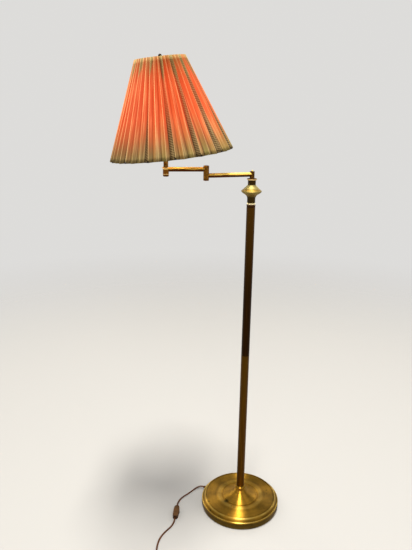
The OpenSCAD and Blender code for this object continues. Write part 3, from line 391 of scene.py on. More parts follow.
vaseBrass = {
    "bright": "#BEA85E", "dull": "#B09A50", "speck": "#4A3A14", "cloud": 30.0, "speckScale": 120.0,
    "speckAmount": 0.35, "gloss": 0.42, "bump": 0.25, "spun": 2600.0,
    # bands up the vase: painted highlights, painted sparkle lines and painted dark reflections over the
    # rings' own tones
    "bandsAndReflections": (1.010, 1.094, [
        (0.00, "#2E0A04"), (0.10, "#2E0A04"), (0.118, "#FFF6D8"), (0.15, "#E8DCA8"),
        (0.165, "#2A1A06"), (0.36, "#2E1E08"), (0.44, "#80692E"), (0.455, "#5A2C08"),
        (0.475, "#8E7638"), (0.56, "#786A3A"), (0.62, "#7C5E20"), (0.64, "#867A48"),
        (0.77, "#8C8252"), (0.785, "#2A1604"), (0.92, "#221002"), (0.93, "#E8CC94"),
        (0.955, "#E8CC94"), (0.965, "#4A2C10"), (1.0, "#3A1E08")])}
# the arms' underside colour is painted shade
armBrass = {
    "bright": "#F2CC66", "dull": "#C2983E", "speck": "#2A1A06", "cloud": 34.0, "speckScale": 130.0,
    "speckAmount": 0.6, "gloss": 0.36, "bump": 0.3, "under": "#4A2408"}
knuckleBrass = {
    "bright": "#9A6824", "dull": "#4A2A0A", "speck": "#2A1404", "cloud": 110.0, "speckScale": 160.0,
    "speckAmount": 0.6, "gloss": 0.3, "bump": 0.35}
hubBrass = {**knuckleBrass, "bright": "#6A4616", "dull": "#2C1804", "speck": "#1A0C02"}
collarBrass = {
    **knuckleBrass,
    # bands up the end knuckle: bright painted highlights on its rings, over its own tones
    "bandsAndReflections": (1.1014, 1.1265, [
        (0.0, "#5A3008"), (0.2, "#6A3C0C"), (0.21, "#FFD890"), (0.25, "#FFD890"),
        (0.27, "#7A4A14"), (0.74, "#7A4A14"), (0.79, "#F4C468"), (1.0, "#FFD890")])}
darkBrass = {
    "bright": "#2C1E0C", "dull": "#140C04", "speck": "#140C04", "cloud": 90.0, "speckScale": 200.0,
    "speckAmount": 0.3, "gloss": 0.24, "bump": 0.3}
brightBrass = {
    "bright": "#D8AE57", "dull": "#A67C33", "speck": "#4A3614", "cloud": 40.0, "speckScale": 160.0,
    "speckAmount": 0.3, "gloss": 0.2, "bump": 0.25}
steelLook = {
    "bright": "#B4B4B0", "dull": "#7E7C78", "speck": "#4A3626", "cloud": 60.0, "speckScale": 150.0,
    "speckAmount": 0.5, "gloss": 0.3, "bump": 0.4}
frameLook = {
    "bright": "#B8A878", "dull": "#84744A", "speck": "#4A3B22", "cloud": 50.0, "speckScale": 140.0,
    "speckAmount": 0.5, "gloss": 0.34, "bump": 0.3}
bulbMetalLook = {
    "bright": "#D0D0CE", "dull": "#9A9A98", "speck": "#6A6058", "cloud": 70.0, "speckScale": 180.0,
    "speckAmount": 0.3, "gloss": 0.24, "bump": 0.3}


def lacqueredTube(name, s):
    # drawn tube under brown lacquer, which wears thin in long streaks
    material, tree, shader = newMaterial(name)
    place = objectPlace(tree)
    streak = useGroup(tree, drawnGrain, {"Place": place, "Stretch": s["stretch"]})["Value"]
    wide = noise(tree, stretched(tree, place, s["wide"]), 1.0, Detail=4.0)
    colour = ramp(tree, streak, tones(zip(s["streaks"], (s["dark"], s["middle"], s["light"]))))
    colour = mixColour(tree, ramp(tree, wide, greys(s["washed"])), colour, linear(s["wash"]))
    height = between(tree, split(tree, place)[2], *s["fade"])
    tree.links.new(mixColour(tree, height, colour, linear(s["far"])), shader.inputs["Base Color"])
    shader.inputs["Metallic"].default_value = s["metal"]
    rough = sums(tree, "MULTIPLY_ADD", streak, s["streakRough"], s["rough"])
    tree.links.new(rough, shader.inputs["Roughness"])
    addBump(tree, shader, streak, s["bump"], lowRelief)
    shader.inputs["Specular IOR Level"].default_value = s["shine"]
    return material


lowerTube = {
    "dark": "#3E2402", "middle": "#4A2E04", "light": "#6A480E", "wash": "#563A0A", "far": "#4A3004",
    "fade": (0.25, 0.55), "stretch": (520, 520, 9), "wide": (30, 30, 3), "streaks": (0.32, 0.55, 0.72),
    "washed": [(0.42, 0.0), (0.7, 0.55)], "metal": 0.85, "rough": 0.32, "streakRough": 0.22,
    "bump": 0.25, "shine": 0.1}
upperTube = {
    **lowerTube, "dark": "#180A00", "middle": "#241202", "light": "#3A2206", "wash": "#2C1A04",
    "far": "#4C3008", "fade": (0.75, 1.02)}


def endBands(tree, place, colour, ends):
    # darker bands across both ends of the switch
    parts = split(tree, place)
    turn = math.radians(ends["yaw"])
    x = sums(tree, "MULTIPLY", sums(tree, "SUBTRACT", parts[0], ends["place"][0]), math.cos(turn))
    y = sums(tree, "MULTIPLY", sums(tree, "SUBTRACT", parts[1], ends["place"][1]), math.sin(turn))
    away = sums(tree, "ABSOLUTE", sums(tree, "ADD", x, y))
    mask = between(tree, away, ends["half"] - ends["soft"], ends["half"] + ends["soft"])
    return mixColour(tree, mask, colour, linear(ends["shade"]))


mouldedClouds = {"detail": 5.0, "dark": 0.3, "light": 0.7, "rough": 0.2}


def moulded(name, s):
    material, tree, shader = newMaterial(name)
    place = objectPlace(tree)
    clouds = mouldedClouds
    cloud = noise(tree, place, s["cloud"], Detail=clouds["detail"])
    colour = ramp(tree, cloud, tones([(clouds["dark"], s["dark"]), (clouds["light"], s["light"])]))
    if "ends" in s:
        colour = endBands(tree, place, colour, s["ends"])
    tree.links.new(colour, shader.inputs["Base Color"])
    rough = sums(tree, "MULTIPLY_ADD", cloud, clouds["rough"], s["rough"])
    tree.links.new(rough, shader.inputs["Roughness"])
    addBump(tree, shader, noise(tree, place, s["grain"], Detail=2.0), s["bump"], lowRelief)
    shader.inputs["Specular IOR Level"].default_value = s["shine"]
    return material


mouldedLooks = {
    "brownPlastic": {
        "dark": "#3A2008", "light": "#55340F", "cloud": 60.0, "grain": 2200.0, "rough": 0.34,
        "bump": 0.15, "shine": 0.3},
    "switchPlastic": {
        "dark": "#422A0E", "light": "#563818", "cloud": 90.0, "grain": 2200.0, "rough": 0.36,
        "bump": 0.15, "shine": 0.15,
        "ends": {"place": (-0.211, -0.056), "yaw": 265, "half": 0.0222, "soft": 0.0008,
                 "shade": "#341C04"}},
    "bakelite": {
        "dark": "#100D0B", "light": "#241F1B", "cloud": 70.0, "grain": 1800.0, "rough": 0.25,
        "bump": 0.12, "shine": 0.5},
    "cordPlastic": {
        "dark": "#3C1E04", "light": "#582E08", "cloud": 40.0, "grain": 1500.0, "rough": 0.42,
        "bump": 0.2, "shine": 0.2},
    "castIron": {
        "dark": "#262524", "light": "#4E4A46", "cloud": 40.0, "grain": 500.0, "rough": 0.6,
        "bump": 0.9, "shine": 0.5},
    "felt": {
        "dark": "#2E2016", "light": "#4E3A28", "cloud": 240.0, "grain": 1600.0, "rough": 0.8,
        "bump": 0.9, "shine": 0.1},
    "linerCard": {
        "dark": "#6B573A", "light": "#94794F", "cloud": 160.0, "grain": 900.0, "rough": 0.7,
        "bump": 0.5, "shine": 0.2}}

bulbLook = {
    "glass": (0.9, 0.82, 0.68, 1), "rough": 0.35, "power": 18.0,
    "glow": [(0.05, (0.35, 0.3, 0.2)), (0.4, (1, 0.88, 0.66)), (0.7, (1, 0.92, 0.74)),
             (1.0, (0.9, 0.78, 0.56))]}


def makeBulbGlass(s):
    # frosted glass, brighter towards the middle of the ball
    material, tree, shader = newMaterial("bulbGlow")
    low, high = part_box("bulb_glass")
    height = between(tree, split(tree, objectPlace(tree))[2], low[2], high[2])
    glow = ramp(tree, height, s["glow"])
    shader.inputs["Base Color"].default_value = s["glass"]
    shader.inputs["Roughness"].default_value = s["rough"]
    tree.links.new(glow, shader.inputs["Emission Color"])
    shader.inputs["Emission Strength"].default_value = s["power"]
    return material


pleatCount = 45
pleatsPerCluster = 3
shadeCloth = {
    # cloth colours from the foot to the top of the shade, on the three kinds of pleat face; the redder
    # middle is painted lamp light through the cloth, and the falling face is a painted shaded copy
    "risingFace": [(0.0, "#80703A"), (0.2, "#805E2E"), (0.45, "#804822"), (0.8, "#804822"),
                   (1.0, "#7B6230")],
    "fallingFaceShaded": [(0.0, "#6C5A32"), (0.2, "#6A4A26"), (0.45, "#62361A"), (0.8, "#663A1C"),
                    (1.0, "#6A522A")],
    "darkFace": [(0.0, "#46371A"), (0.25, "#4D3516"), (0.5, "#6B3F1C"), (0.7, "#784625"),
                 (1.0, "#6D5C30")],
    "wedgeShadeTone": "#7A6E40", "creaseShadeAndWeave": "#34240C", "ridge": "#B89C68", "hem": "#140C06",
    # from the foot to the top: how much of the lamp's red comes through, and how dark the deep folds
    # are at least
    "lit": [(0.03, 0.0), (0.12, 0.2), (0.24, 0.64), (0.4, 1.0), (0.72, 1.0), (0.85, 0.8),
            (0.95, 0.5), (1.0, 0.28)],
    "shaded": [(0.2, 0.95), (0.42, 0.6), (0.6, 0.14), (0.78, 0.14), (0.92, 0.5)],
    # how dark each deep fold is at least, in turn round the shade
    "folds": [0.3, 0.72, 0.85, 0.4, 0.2, 0.6, 0.15, 0.7, 0.3, 0.5, 0.2, 0.6, 0.12, 0.3, 0.15],
    "glow": "#FF4218", "power": 0.62, "valleyDim": 0.35,
    "weave": (900, 900, 320), "weaveShow": 0.14, "rough": 0.75, "shine": 0.2, "bump": 0.35,
    # each face's own tone: its noise, and how far it moves the colours up or down the shade
    "toneScale": 0.83, "toneRise": 1.1, "toneShift": 0.24,
    # how much shows at each place within one pleat
    "falling": [(0.46, 0.0), (0.52, 1.0), (0.94, 1.0), (1.0, 0.0)],
    # by the distance from the middle of a pleat, and from its crest: painted shade in the valleys and a
    # painted highlight along the crest
    "valleyShade": [(0.38, 0.0), (0.49, 0.75)],
    "crest": [(0.02, 1.0), (0.06, 0.0)], "crestAt": 0.52, "crestShow": (2.4, 0.7),
    # by the place within one cluster of pleats
    "deep": [(0.0, 1.0), (0.15, 1.0), (0.172, 0.0), (0.985, 0.0), (1.0, 1.0)],
    # over each deep fold, a wedge of painted shade: height of its point, place in the cluster, sharpness
    # and strength
    "wedgeShade": {"rise": 0.72, "middle": 0.1, "edge": 16.0, "depth": 0.85},
    # place in the cluster, half its width, and its height
    "hemMark": {"middle": 0.16, "across": [(0.028, 1.0), (0.04, 0.0)], "up": [(0.016, 1.0), (0.022, 0.0)]},
    # waves up and across the cloth, and how strongly they show
    "ribs": {"up": 260.0, "across": 12.0, "show": (0.32, 0.08)},
    # wrinkles across and up the cloth, and where their noise shows paler or darker
    "wrinkles": (5.0, 2.2), "paler": [(0.5, 0.0), (0.68, 0.4)], "darker": [(0.3, 0.4), (0.48, 0.0)]}


def pleatPlace(tree):
    # pleats counted round the shade, and the height from 0 at its foot to 1 at its top
    return split(tree, node(tree, "ShaderNodeUVMap", uv_map="pleats").outputs[0])[:2]


def faceColour(tree, s, phase, deep, reach):
    # the falling face of each pleat is painted darker, as painted shade
    rising = ramp(tree, reach, tones(s["risingFace"]))
    falling = ramp(tree, reach, tones(s["fallingFaceShaded"]))
    colour = mixColour(tree, ramp(tree, phase, greys(s["falling"])), rising, falling)
    return mixColour(tree, deep, colour, ramp(tree, reach, tones(s["darkFace"])))


def foldShadow(tree, s, along, deep, reach):
    # every deep fold has its own darkness
    turn = sums(tree, "FRACT", sums(tree, "DIVIDE", along, pleatCount))
    stops = [(i / len(s["folds"]), value) for i, value in enumerate(s["folds"])]
    kept = ramp(tree, turn, greys(stops), "CONSTANT")
    darkest = sums(tree, "MAXIMUM", kept, ramp(tree, reach, greys(s["shaded"])))
    return sums(tree, "MULTIPLY", deep, darkest)


def foldWedgeShade(tree, s, cluster, rise):
    # painted shade in a wedge above each deep fold, where less lamp light comes through the cloth
    level = sums(tree, "SUBTRACT", rise, s["rise"])
    spread = sums(tree, "SUBTRACT", level, offset(tree, cluster, s["middle"]))
    return sums(tree, "MULTIPLY", spread, s["edge"], clamp=True)


def lampLight(tree, s, shaded, wedgeShade, reach):
    # less lamp light in the painted shade of the deep folds and the wedges
    clear = sums(tree, "SUBTRACT", 1.0, shaded)
    lit = sums(tree, "MULTIPLY", ramp(tree, reach, greys(s["lit"])), clear, clamp=True)
    flat = sums(tree, "MULTIPLY_ADD", wedgeShade, -s["wedgeShade"]["depth"], 1.0)
    return sums(tree, "MULTIPLY", lit, flat, clamp=True)


def addRibs(tree, s, colour, along, rise, shaded):
    # the weave shows as slanting ribs where the cloth is in shadow
    ribs = s["ribs"]
    across = sums(tree, "MULTIPLY", along, ribs["across"])
    slant = sums(tree, "SINE", sums(tree, "MULTIPLY_ADD", rise, ribs["up"], across))
    rib = sums(tree, "MULTIPLY", shaded, sums(tree, "MULTIPLY_ADD", slant, *ribs["show"]), clamp=True)
    return mixColour(tree, rib, colour, linear(s["ridge"]))


def addWrinkles(tree, s, colour, along, rise):
    # long soft wrinkles run with the pleats, painted paler and darker as painted highlight and shade
    across, up = s["wrinkles"]
    stretch = joined(tree, sums(tree, "MULTIPLY", along, across), sums(tree, "MULTIPLY", rise, up))
    wrinkle = noise(tree, stretch, 1.0, Detail=3.0)
    colour = mixColour(tree, ramp(tree, wrinkle, greys(s["paler"])), colour, linear(s["ridge"]))
    return mixColour(tree, ramp(tree, wrinkle, greys(s["darker"])), colour, linear(s["creaseShadeAndWeave"]))


def addHemMarks(tree, s, colour, cluster, rise):
    # a small dark mark on the hem at the ridge of each deep pleat
    hemMark = s["hemMark"]
    across = ramp(tree, offset(tree, cluster, hemMark["middle"]), greys(hemMark["across"]))
    shown = sums(tree, "MULTIPLY", across, ramp(tree, rise, greys(hemMark["up"])))
    return mixColour(tree, shown, colour, linear(s["hem"]))


def makeShadeCloth(s):
    # tan pleated cloth, with painted coral glow that the cloth gives off where the lamp shines through
    material, tree, shader = newMaterial("pleatCloth")
    along, rise = pleatPlace(tree)
    phase = sums(tree, "FRACT", along)
    cluster = sums(tree, "FRACT", sums(tree, "DIVIDE", along, pleatsPerCluster))
    # each face of a pleat has its own tone, which shifts slowly up the shade
    side = sums(tree, "FLOOR", sums(tree, "MULTIPLY", along, 2.0))
    upward = sums(tree, "MULTIPLY", rise, s["toneRise"])
    tone = noise(tree, joined(tree, side, upward), s["toneScale"], Detail=1.0)
    shift = sums(tree, "SUBTRACT", tone, 0.5)
    reach = sums(tree, "MULTIPLY_ADD", shift, s["toneShift"], rise)
    # every third fold is deeper, and the face that rises from it lies in its own shadow
    deep = ramp(tree, cluster, greys(s["deep"]))
    shaded = foldShadow(tree, s, along, deep, reach)
    wedgeShade = foldWedgeShade(tree, s["wedgeShade"], cluster, rise)
    colour = faceColour(tree, s, phase, deep, reach)
    # the wedge is painted in a dull olive tone, as painted shade
    paintedWedge = sums(tree, "MULTIPLY", wedgeShade, s["wedgeShade"]["depth"])
    colour = mixColour(tree, paintedWedge, colour, linear(s["wedgeShadeTone"]))
    colour = addRibs(tree, s, colour, along, rise, shaded)
    colour = addWrinkles(tree, s, colour, along, rise)
    # the valleys are painted darker and their glow dimmer, as painted shade
    valleyShade = ramp(tree, offset(tree, phase, 0.5), greys(s["valleyShade"]))
    colour = mixColour(tree, valleyShade, colour, linear(s["creaseShadeAndWeave"]))
    # a painted highlight along the crest of each pleat
    crest = ramp(tree, offset(tree, phase, s["crestAt"]), greys(s["crest"]))
    crest = sums(tree, "MULTIPLY", crest, sums(tree, "MULTIPLY_ADD", shift, *s["crestShow"]), clamp=True)
    crest = sums(tree, "MULTIPLY", crest, sums(tree, "SUBTRACT", 1.0, deep))
    colour = mixColour(tree, crest, colour, linear(s["ridge"]))
    colour = addHemMarks(tree, s, colour, cluster, rise)
    weave = noise(tree, stretched(tree, objectPlace(tree), s["weave"]), 1.0, Detail=2.0)
    colour = mixColour(tree, sums(tree, "MULTIPLY", weave, s["weaveShow"]), colour, linear(s["creaseShadeAndWeave"]))
    tree.links.new(colour, shader.inputs["Base Color"])
    lit = lampLight(tree, s, shaded, wedgeShade, reach)
    glow = sums(tree, "MULTIPLY", lit, sums(tree, "MULTIPLY_ADD", valleyShade, -s["valleyDim"], 1.0))
    tree.links.new(mixColour(tree, glow, (0, 0, 0, 1), linear(s["glow"])), shader.inputs["Emission Color"])
    shader.inputs["Emission Strength"].default_value = s["power"]
    shader.inputs["Roughness"].default_value = s["rough"]
    shader.inputs["Specular IOR Level"].default_value = s["shine"]
    addBump(tree, shader, weave, s["bump"], highRelief)
    return material


shadeLining = {
    "tones": [(0.0, "#C8B48C"), (0.35, "#E8D0AC"), (0.8, "#EAD2B0"), (1.0, "#B8A078")],
    "thread": "#A8906C", "threadShow": 0.2, "weave": 700.0, "rough": 0.85, "bump": 0.3}


def makeLining(s):
    material, tree, shader = newMaterial("shadeLining")
    rise = pleatPlace(tree)[1]
    weave = noise(tree, objectPlace(tree), s["weave"], Detail=2.0)
    colour = ramp(tree, rise, tones(s["tones"]))
    colour = mixColour(tree, sums(tree, "MULTIPLY", weave, s["threadShow"]), colour, linear(s["thread"]))
    tree.links.new(colour, shader.inputs["Base Color"])
    shader.inputs["Roughness"].default_value = s["rough"]
    addBump(tree, shader, weave, s["bump"], highRelief)
    return material


metalLooks = {
    "baseBrass": baseBrass, "vaseBrass": vaseBrass, "armBrass": armBrass, "knuckleBrass": knuckleBrass,
    "hubBrass": hubBrass, "collarBrass": collarBrass, "darkBrass": darkBrass,
    "brightBrass": brightBrass, "steel": steelLook, "frameMetal": frameLook, "bulbMetal": bulbMetalLook}
finishes = {
    **{name: metal(name, look) for name, look in metalLooks.items()},
    "lowerTube": lacqueredTube("lowerTube", lowerTube),
    "upperTube": lacqueredTube("upperTube", upperTube),
    "bulbGlow": makeBulbGlass(bulbLook),
    "pleatCloth": makeShadeCloth(shadeCloth),
    "shadeLining": makeLining(shadeLining),
    **{name: moulded(name, look) for name, look in mouldedLooks.items()},
}
print("stage: finishes made,", len(finishes))


cordSizes = {"width": 0.0054, "thick": 0.0028, "waist": 0.72, "step": 0.0028}
lieZ = 0.0016  # middle of a cord that lies on the floor
switchZ = 0.006  # middle of the cord where it enters the switch
supplyRoute = [
    (-0.121244, 0.070, 0.009), (-0.124, 0.0716, 0.0089), (-0.1293, 0.0738, 0.0082),
    (-0.1353, 0.0746, 0.0068), (-0.1413, 0.0738, 0.0051), (-0.1468, 0.0715, 0.0036),
    (-0.1524, 0.067, 0.0023), (-0.1604, 0.0581, lieZ), (-0.1684, 0.0492, lieZ),
    (-0.1765, 0.0403, lieZ), (-0.1824, 0.0348, lieZ), (-0.188, 0.029, lieZ), (-0.196, 0.019, lieZ),
    (-0.203, 0.007, lieZ), (-0.207, -0.005, 0.002), (-0.2086, -0.015, 0.0038),
    (-0.2088, -0.022, 0.0054), (-0.20847, -0.02711, switchZ), (-0.20896, -0.03269, switchZ)]
leadRoute = [
    (-0.21304, -0.07931, switchZ), (-0.21353, -0.08489, switchZ), (-0.2142, -0.090, 0.0054),
    (-0.216, -0.098, 0.0036), (-0.2195, -0.108, 0.002), (-0.225, -0.119, lieZ), (-0.233, -0.130, lieZ),
    (-0.241, -0.141, lieZ), (-0.248, -0.153, lieZ), (-0.254, -0.166, lieZ), (-0.258, -0.180, lieZ),
    (-0.2603, -0.194, lieZ), (-0.2612, -0.208, lieZ), (-0.2614, -0.222, lieZ),
    (-0.2614, -0.236, lieZ), (-0.2616, -0.250, lieZ), (-0.2626, -0.266, lieZ)]
coil = {
    "place": (-0.231, -0.290), "outer": 0.0341, "inner": 0.0285, "rise": 0.0029, "start": 172, "end": 270,
    # where each turn lies, and in which layer: out, in, up, out and so on
    "turns": [("outer", 0), ("inner", 0), ("inner", 1), ("outer", 1), ("outer", 2), ("inner", 2),
              ("inner", 3), ("outer", 3), ("outer", 4)],
    "perTurn": 24, "crossing": 0.22, "sway": 0.00025, "swayStep": 1.7}
tailRoute = [
    (-0.222, -0.3252, 0.0133), (-0.2105, -0.3272, 0.0118), (-0.199, -0.3272, 0.0088),
    (-0.188, -0.3252, 0.0069), (-0.1778, -0.3225, 0.0065)]


def smoothRoute(points, step):
    # a curve through the points, sampled evenly
    points = [Vector(p) for p in points]
    dense = [points[0]]
    for i in range(len(points) - 1):
        a, b, c, d = points[max(i - 1, 0)], points[i], points[i + 1], points[min(i + 2, len(points) - 1)]
        count = max(2, int((c - b).length / step * 3))
        for k in range(1, count + 1):
            t = k / count
            dense.append(0.5 * (2 * b + (c - a) * t + (2 * a - 5 * b + 4 * c - d) * t * t
                                + (3 * b - a - 3 * c + d) * t ** 3))
    spaced, left = [dense[0]], 0.0
    for a, b in zip(dense, dense[1:]):
        span = (b - a).length
        while left + span >= step and span > 0:
            a = a.lerp(b, (step - left) / span)
            spaced.append(a)
            span, left = (b - a).length, 0.0
        left += span
    # a short last step is merged with the one before it
    if (spaced[-1] - dense[-1]).length > step * 0.3:
        spaced.append(dense[-1])
    else:
        spaced[-1] = dense[-1]
    return spaced


def coilPoints(s):
    # the last part of each turn crosses over to the next turn's place
    last = len(s["turns"]) - 1
    total = int((last + 1 + (s["end"] - s["start"]) / 360) * s["perTurn"])
    made = []
    for i in range(total + 1):
        turn = min(i // s["perTurn"], last)
        here, layer = s["turns"][turn]
        there, layerAfter = s["turns"][min(turn + 1, last)]
        part = i % s["perTurn"] / s["perTurn"]
        blend = max(0.0, (part - 1 + s["crossing"]) / s["crossing"])
        blend = blend * blend * (3 - 2 * blend)
        angle = math.radians(s["start"] + 360 * i / s["perTurn"])
        radius = s[here] * (1 - blend) + s[there] * blend
        radius += s["sway"] * math.sin(angle * 2 + turn * s["swayStep"])
        z = lieZ + s["rise"] * (layer * (1 - blend) + layerAfter * blend)
        made.append((s["place"][0] + radius * math.cos(angle), s["place"][1] + radius * math.sin(angle), z))
    return made


def keepAboveFloor(points, low):
    return [Vector((p.x, p.y, max(p.z, low))) for p in points]


wholeRoute = supplyRoute + leadRoute + coilPoints(coil) + tailRoute
cordPath = keepAboveFloor(smoothRoute(wholeRoute, cordSizes["step"]), lieZ)


def makeCord(s, path):
    # the section is a small outline that a curve carries along the route, kept level
    outline = bpy.data.curves.new("cordOutline", "CURVE")
    outline.dimensions = "2D"
    spline = outline.splines.new("POLY")
    half, r = s["width"] / 2 - s["thick"] / 2, s["thick"] / 2
    angles = [math.radians(a) for a in range(-120, 121, 30)]
    section = [(half + r * math.cos(a), r * math.sin(a)) for a in angles] + [(0, r * s["waist"])]
    section += [(-x, -y) for x, y in section]
    spline.points.add(len(section) - 1)
    for point, (x, y) in zip(spline.points, section):
        point.co = (x, y, 0, 1)
    spline.use_cyclic_u = True
    outlineObject = newObject("cordOutline", outline)
    curve = bpy.data.curves.new("mainsCordCurve", "CURVE")
    curve.dimensions = "3D"
    curve.twist_mode = "Z_UP"
    curve.bevel_mode = "OBJECT"
    curve.bevel_object = outlineObject
    curve.use_fill_caps = True
    spline = curve.splines.new("POLY")
    spline.points.add(len(path) - 1)
    for point, place in zip(spline.points, path):
        point.co = (*place, 1)
    curveObject = newObject("mainsCordCurve", curve)
    bpy.context.view_layer.update()
    mesh = bpy.data.meshes.new_from_object(curveObject.evaluated_get(bpy.context.evaluated_depsgraph_get()))
    bpy.data.objects.remove(curveObject)
    bpy.data.objects.remove(outlineObject)
    bm = bmesh.new()
    bm.from_mesh(mesh)
    bmesh.ops.recalc_face_normals(bm, faces=bm.faces)
    bpy.data.meshes.remove(mesh)
    return finishPiece("mainsCord", bm, finishes["cordPlastic"], "stand")


mainsCord = makeCord(cordSizes, cordPath)

plugSizes = {
    "place": (-0.160, -0.320, 0.0065), "yaw": 8, "body": 0.026, "wide": 0.024, "tall": 0.0116,
    "slices": 11, "neck": 0.0054, "neckTall": 0.74, "neckRise": 2.2, "flare": (0.66, 1.25),
    "grooved": (0.2, 0.7), "groove": 0.0006, "edge": 0.0022, "faceEdge": 0.0007,
    "relief": 0.020, "endR": 0.0033, "ribs": 6, "ribStart": 0.001, "ribStep": 0.003, "ribWide": 0.0015,
    "ribR": 0.0034, "ribGrowth": 0.0002, "ribDeep": 0.0007, "ribGroove": (0.0017, 0.0026),
    "collarR": 0.0046, "collar": (-0.0006, 0.0012), "steps": 24}


def makeGrip(bm, s):
    # a body that flares from the cord to the blades, with finger grooves
    bmesh.ops.create_cube(bm, size=1)
    long = [e for e in bm.edges if abs(e.verts[0].co.x - e.verts[1].co.x) > 0.5]
    bmesh.ops.subdivide_edges(bm, edges=long, cuts=s["slices"])
    for vert in bm.verts:
        t = vert.co.x + 0.5
        half = s["neck"] + (s["wide"] / 2 - s["neck"]) * min(1, t / s["flare"][0]) ** s["flare"][1]
        if s["grooved"][0] < t < s["grooved"][1] and round(t * s["slices"]) % 2:
            half -= s["groove"]
        tall = s["tall"] * (s["neckTall"] + (1 - s["neckTall"]) * min(1, t * s["neckRise"]))
        vert.co = Vector((t * s["body"], vert.co.y * 2 * half, vert.co.z * tall))
    long = [e for e in bm.edges if abs(e.verts[0].co.x - e.verts[1].co.x) > 0.001]
    bmesh.ops.bevel(bm, geom=long, offset=s["edge"], segments=3, affect="EDGES", profile=0.5, material=-1)
    rim = [e for e in bm.edges if min(v.co.x for v in e.verts) > s["body"] - 1e-5
           and len(e.link_faces) == 2 and any(abs(f.normal.x) < 0.5 for f in e.link_faces)]
    bmesh.ops.bevel(bm, geom=rim, offset=s["faceEdge"], segments=2, affect="EDGES", profile=0.5,
                    material=-1)


def makeSleeve(bm, s):
    # a ribbed sleeve where the cord enters
    outline = [(0.0, -s["relief"]), (s["endR"], -s["relief"])]
    for k in range(s["ribs"]):
        x = -s["relief"] + s["ribStart"] + k * s["ribStep"]
        r = s["ribR"] + s["ribGrowth"] * k
        low = r - s["ribDeep"]
        outline += [(r, x), (r, x + s["ribWide"])]
        outline += [(low, x + step) for step in s["ribGroove"]]
    outline += [(s["collarR"], s["collar"][0]), (s["collarR"], s["collar"][1]), (0.0, s["collar"][1])]
    points = [bm.verts.new((x, 0, r)) for r, x in outline]
    edges = [bm.edges.new(pair) for pair in zip(points, points[1:])]
    bmesh.ops.spin(bm, geom=points + edges, cent=(0, 0, 0), axis=(1, 0, 0), angle=2 * math.pi,
                   steps=s["steps"], use_merge=True)


def makePlug(s):
    turn = Matrix.Translation(s["place"]) @ Matrix.Rotation(math.radians(s["yaw"]), 4, "Z")
    bm = bmesh.new()
    makeGrip(bm, s)
    makeSleeve(bm, s)
    bmesh.ops.remove_doubles(bm, verts=bm.verts, dist=1e-6)
    bmesh.ops.recalc_face_normals(bm, faces=bm.faces)
    bmesh.ops.transform(bm, matrix=turn, verts=bm.verts)
    return finishPiece("plugGrip", bm, finishes["brownPlastic"], "stand", smooth=False)


plugGrip = makePlug(plugSizes)
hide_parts("plug_body")
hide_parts("supply_cord", "lead_cord", "cord_coil")
print("stage: cord and plug made")

shadeSizes = {
    "tip": (-0.237775, -0.050510), "footZ": 1.15239, "harpH": 0.2456, "lean": 3.0, "tilt": 6.9,
    "seatGap": 0.000353, "height": 0.245, "seatDrop": 0.006, "footR": 0.166, "topR": 0.0665,
    "depth": 0.0059, "deep": 0.002, "phase": -87.3, "wall": 0.0009,
    "rows": 22, "phases": [0.0, 0.12, 0.3, 0.5, 0.7, 0.88],
    # cloth that bellies a little between creases, pleats that wander sideways, and a sagging hem
    "belly": 0.0005, "wander": 0.10, "drift": 0.11, "sag": 0.0012, "clear": 0.0002, "sagSpan": 8,
    # change from pleat to pleat, then the start, or for belly the change within a pleat
    "waves": {"belly": (2.3, 5), "wander": (1.9, 0.6), "drift": (2.7, 2.0), "sag": (3.1, 1.0)},
    # shares of half the wall that the cloth is set in: at a crest, and how much more in a valley
    "wallShare": (0.4, 1.2), "sharp": 28}


def shadeFrame(s):
    turn = Matrix.Translation((*s["tip"], s["footZ"])) @ Matrix.Rotation(math.radians(-s["lean"]), 4, "Y")
    turn = turn @ Matrix.Translation((0, 0, s["harpH"] + s["seatGap"]))
    turn = turn @ Matrix.Rotation(math.radians(s["lean"] - s["tilt"]), 4, "Y")
    return turn @ Matrix.Translation((0, 0, s["seatDrop"] - s["height"]))


def sheetOfPleats(bm, s):
    # an unrolled sheet: x counts its columns and z its rows
    count = pleatCount * len(s["phases"])
    bmesh.ops.create_circle(bm, segments=count, radius=1)
    around = sorted(bm.verts, key=lambda v: math.atan2(v.co.y, v.co.x) % (2 * math.pi))
    for k, vert in enumerate(around):
        vert.co = Vector((k, 0, 0))
    edges = list(bm.edges)
    for row in range(s["rows"]):
        grown = bmesh.ops.extrude_edge_only(bm, edges=edges)["geom"]
        for vert in (g for g in grown if isinstance(g, bmesh.types.BMVert)):
            vert.co.z += 1
        edges = [g for g in grown if isinstance(g, bmesh.types.BMEdge)
                 and g.verts[0].co.z == g.verts[1].co.z]
    return count


def mapPleats(bm, s, count):
    layer = bm.loops.layers.uv.new("pleats")
    for face in bm.faces:
        columns = [round(loop.vert.co.x) for loop in face.loops]
        wraps = max(columns) - min(columns) > 1
        for loop, column in zip(face.loops, columns):
            if wraps and column == 0:
                column = count
            pleat, k = divmod(column, len(s["phases"]))
            loop[layer].uv = (pleat + s["phases"][k], loop.vert.co.z / s["rows"])


def wave(s, name, pleat, part=1):
    rate, start = s["waves"][name]
    return math.sin(pleat * rate + start * part)


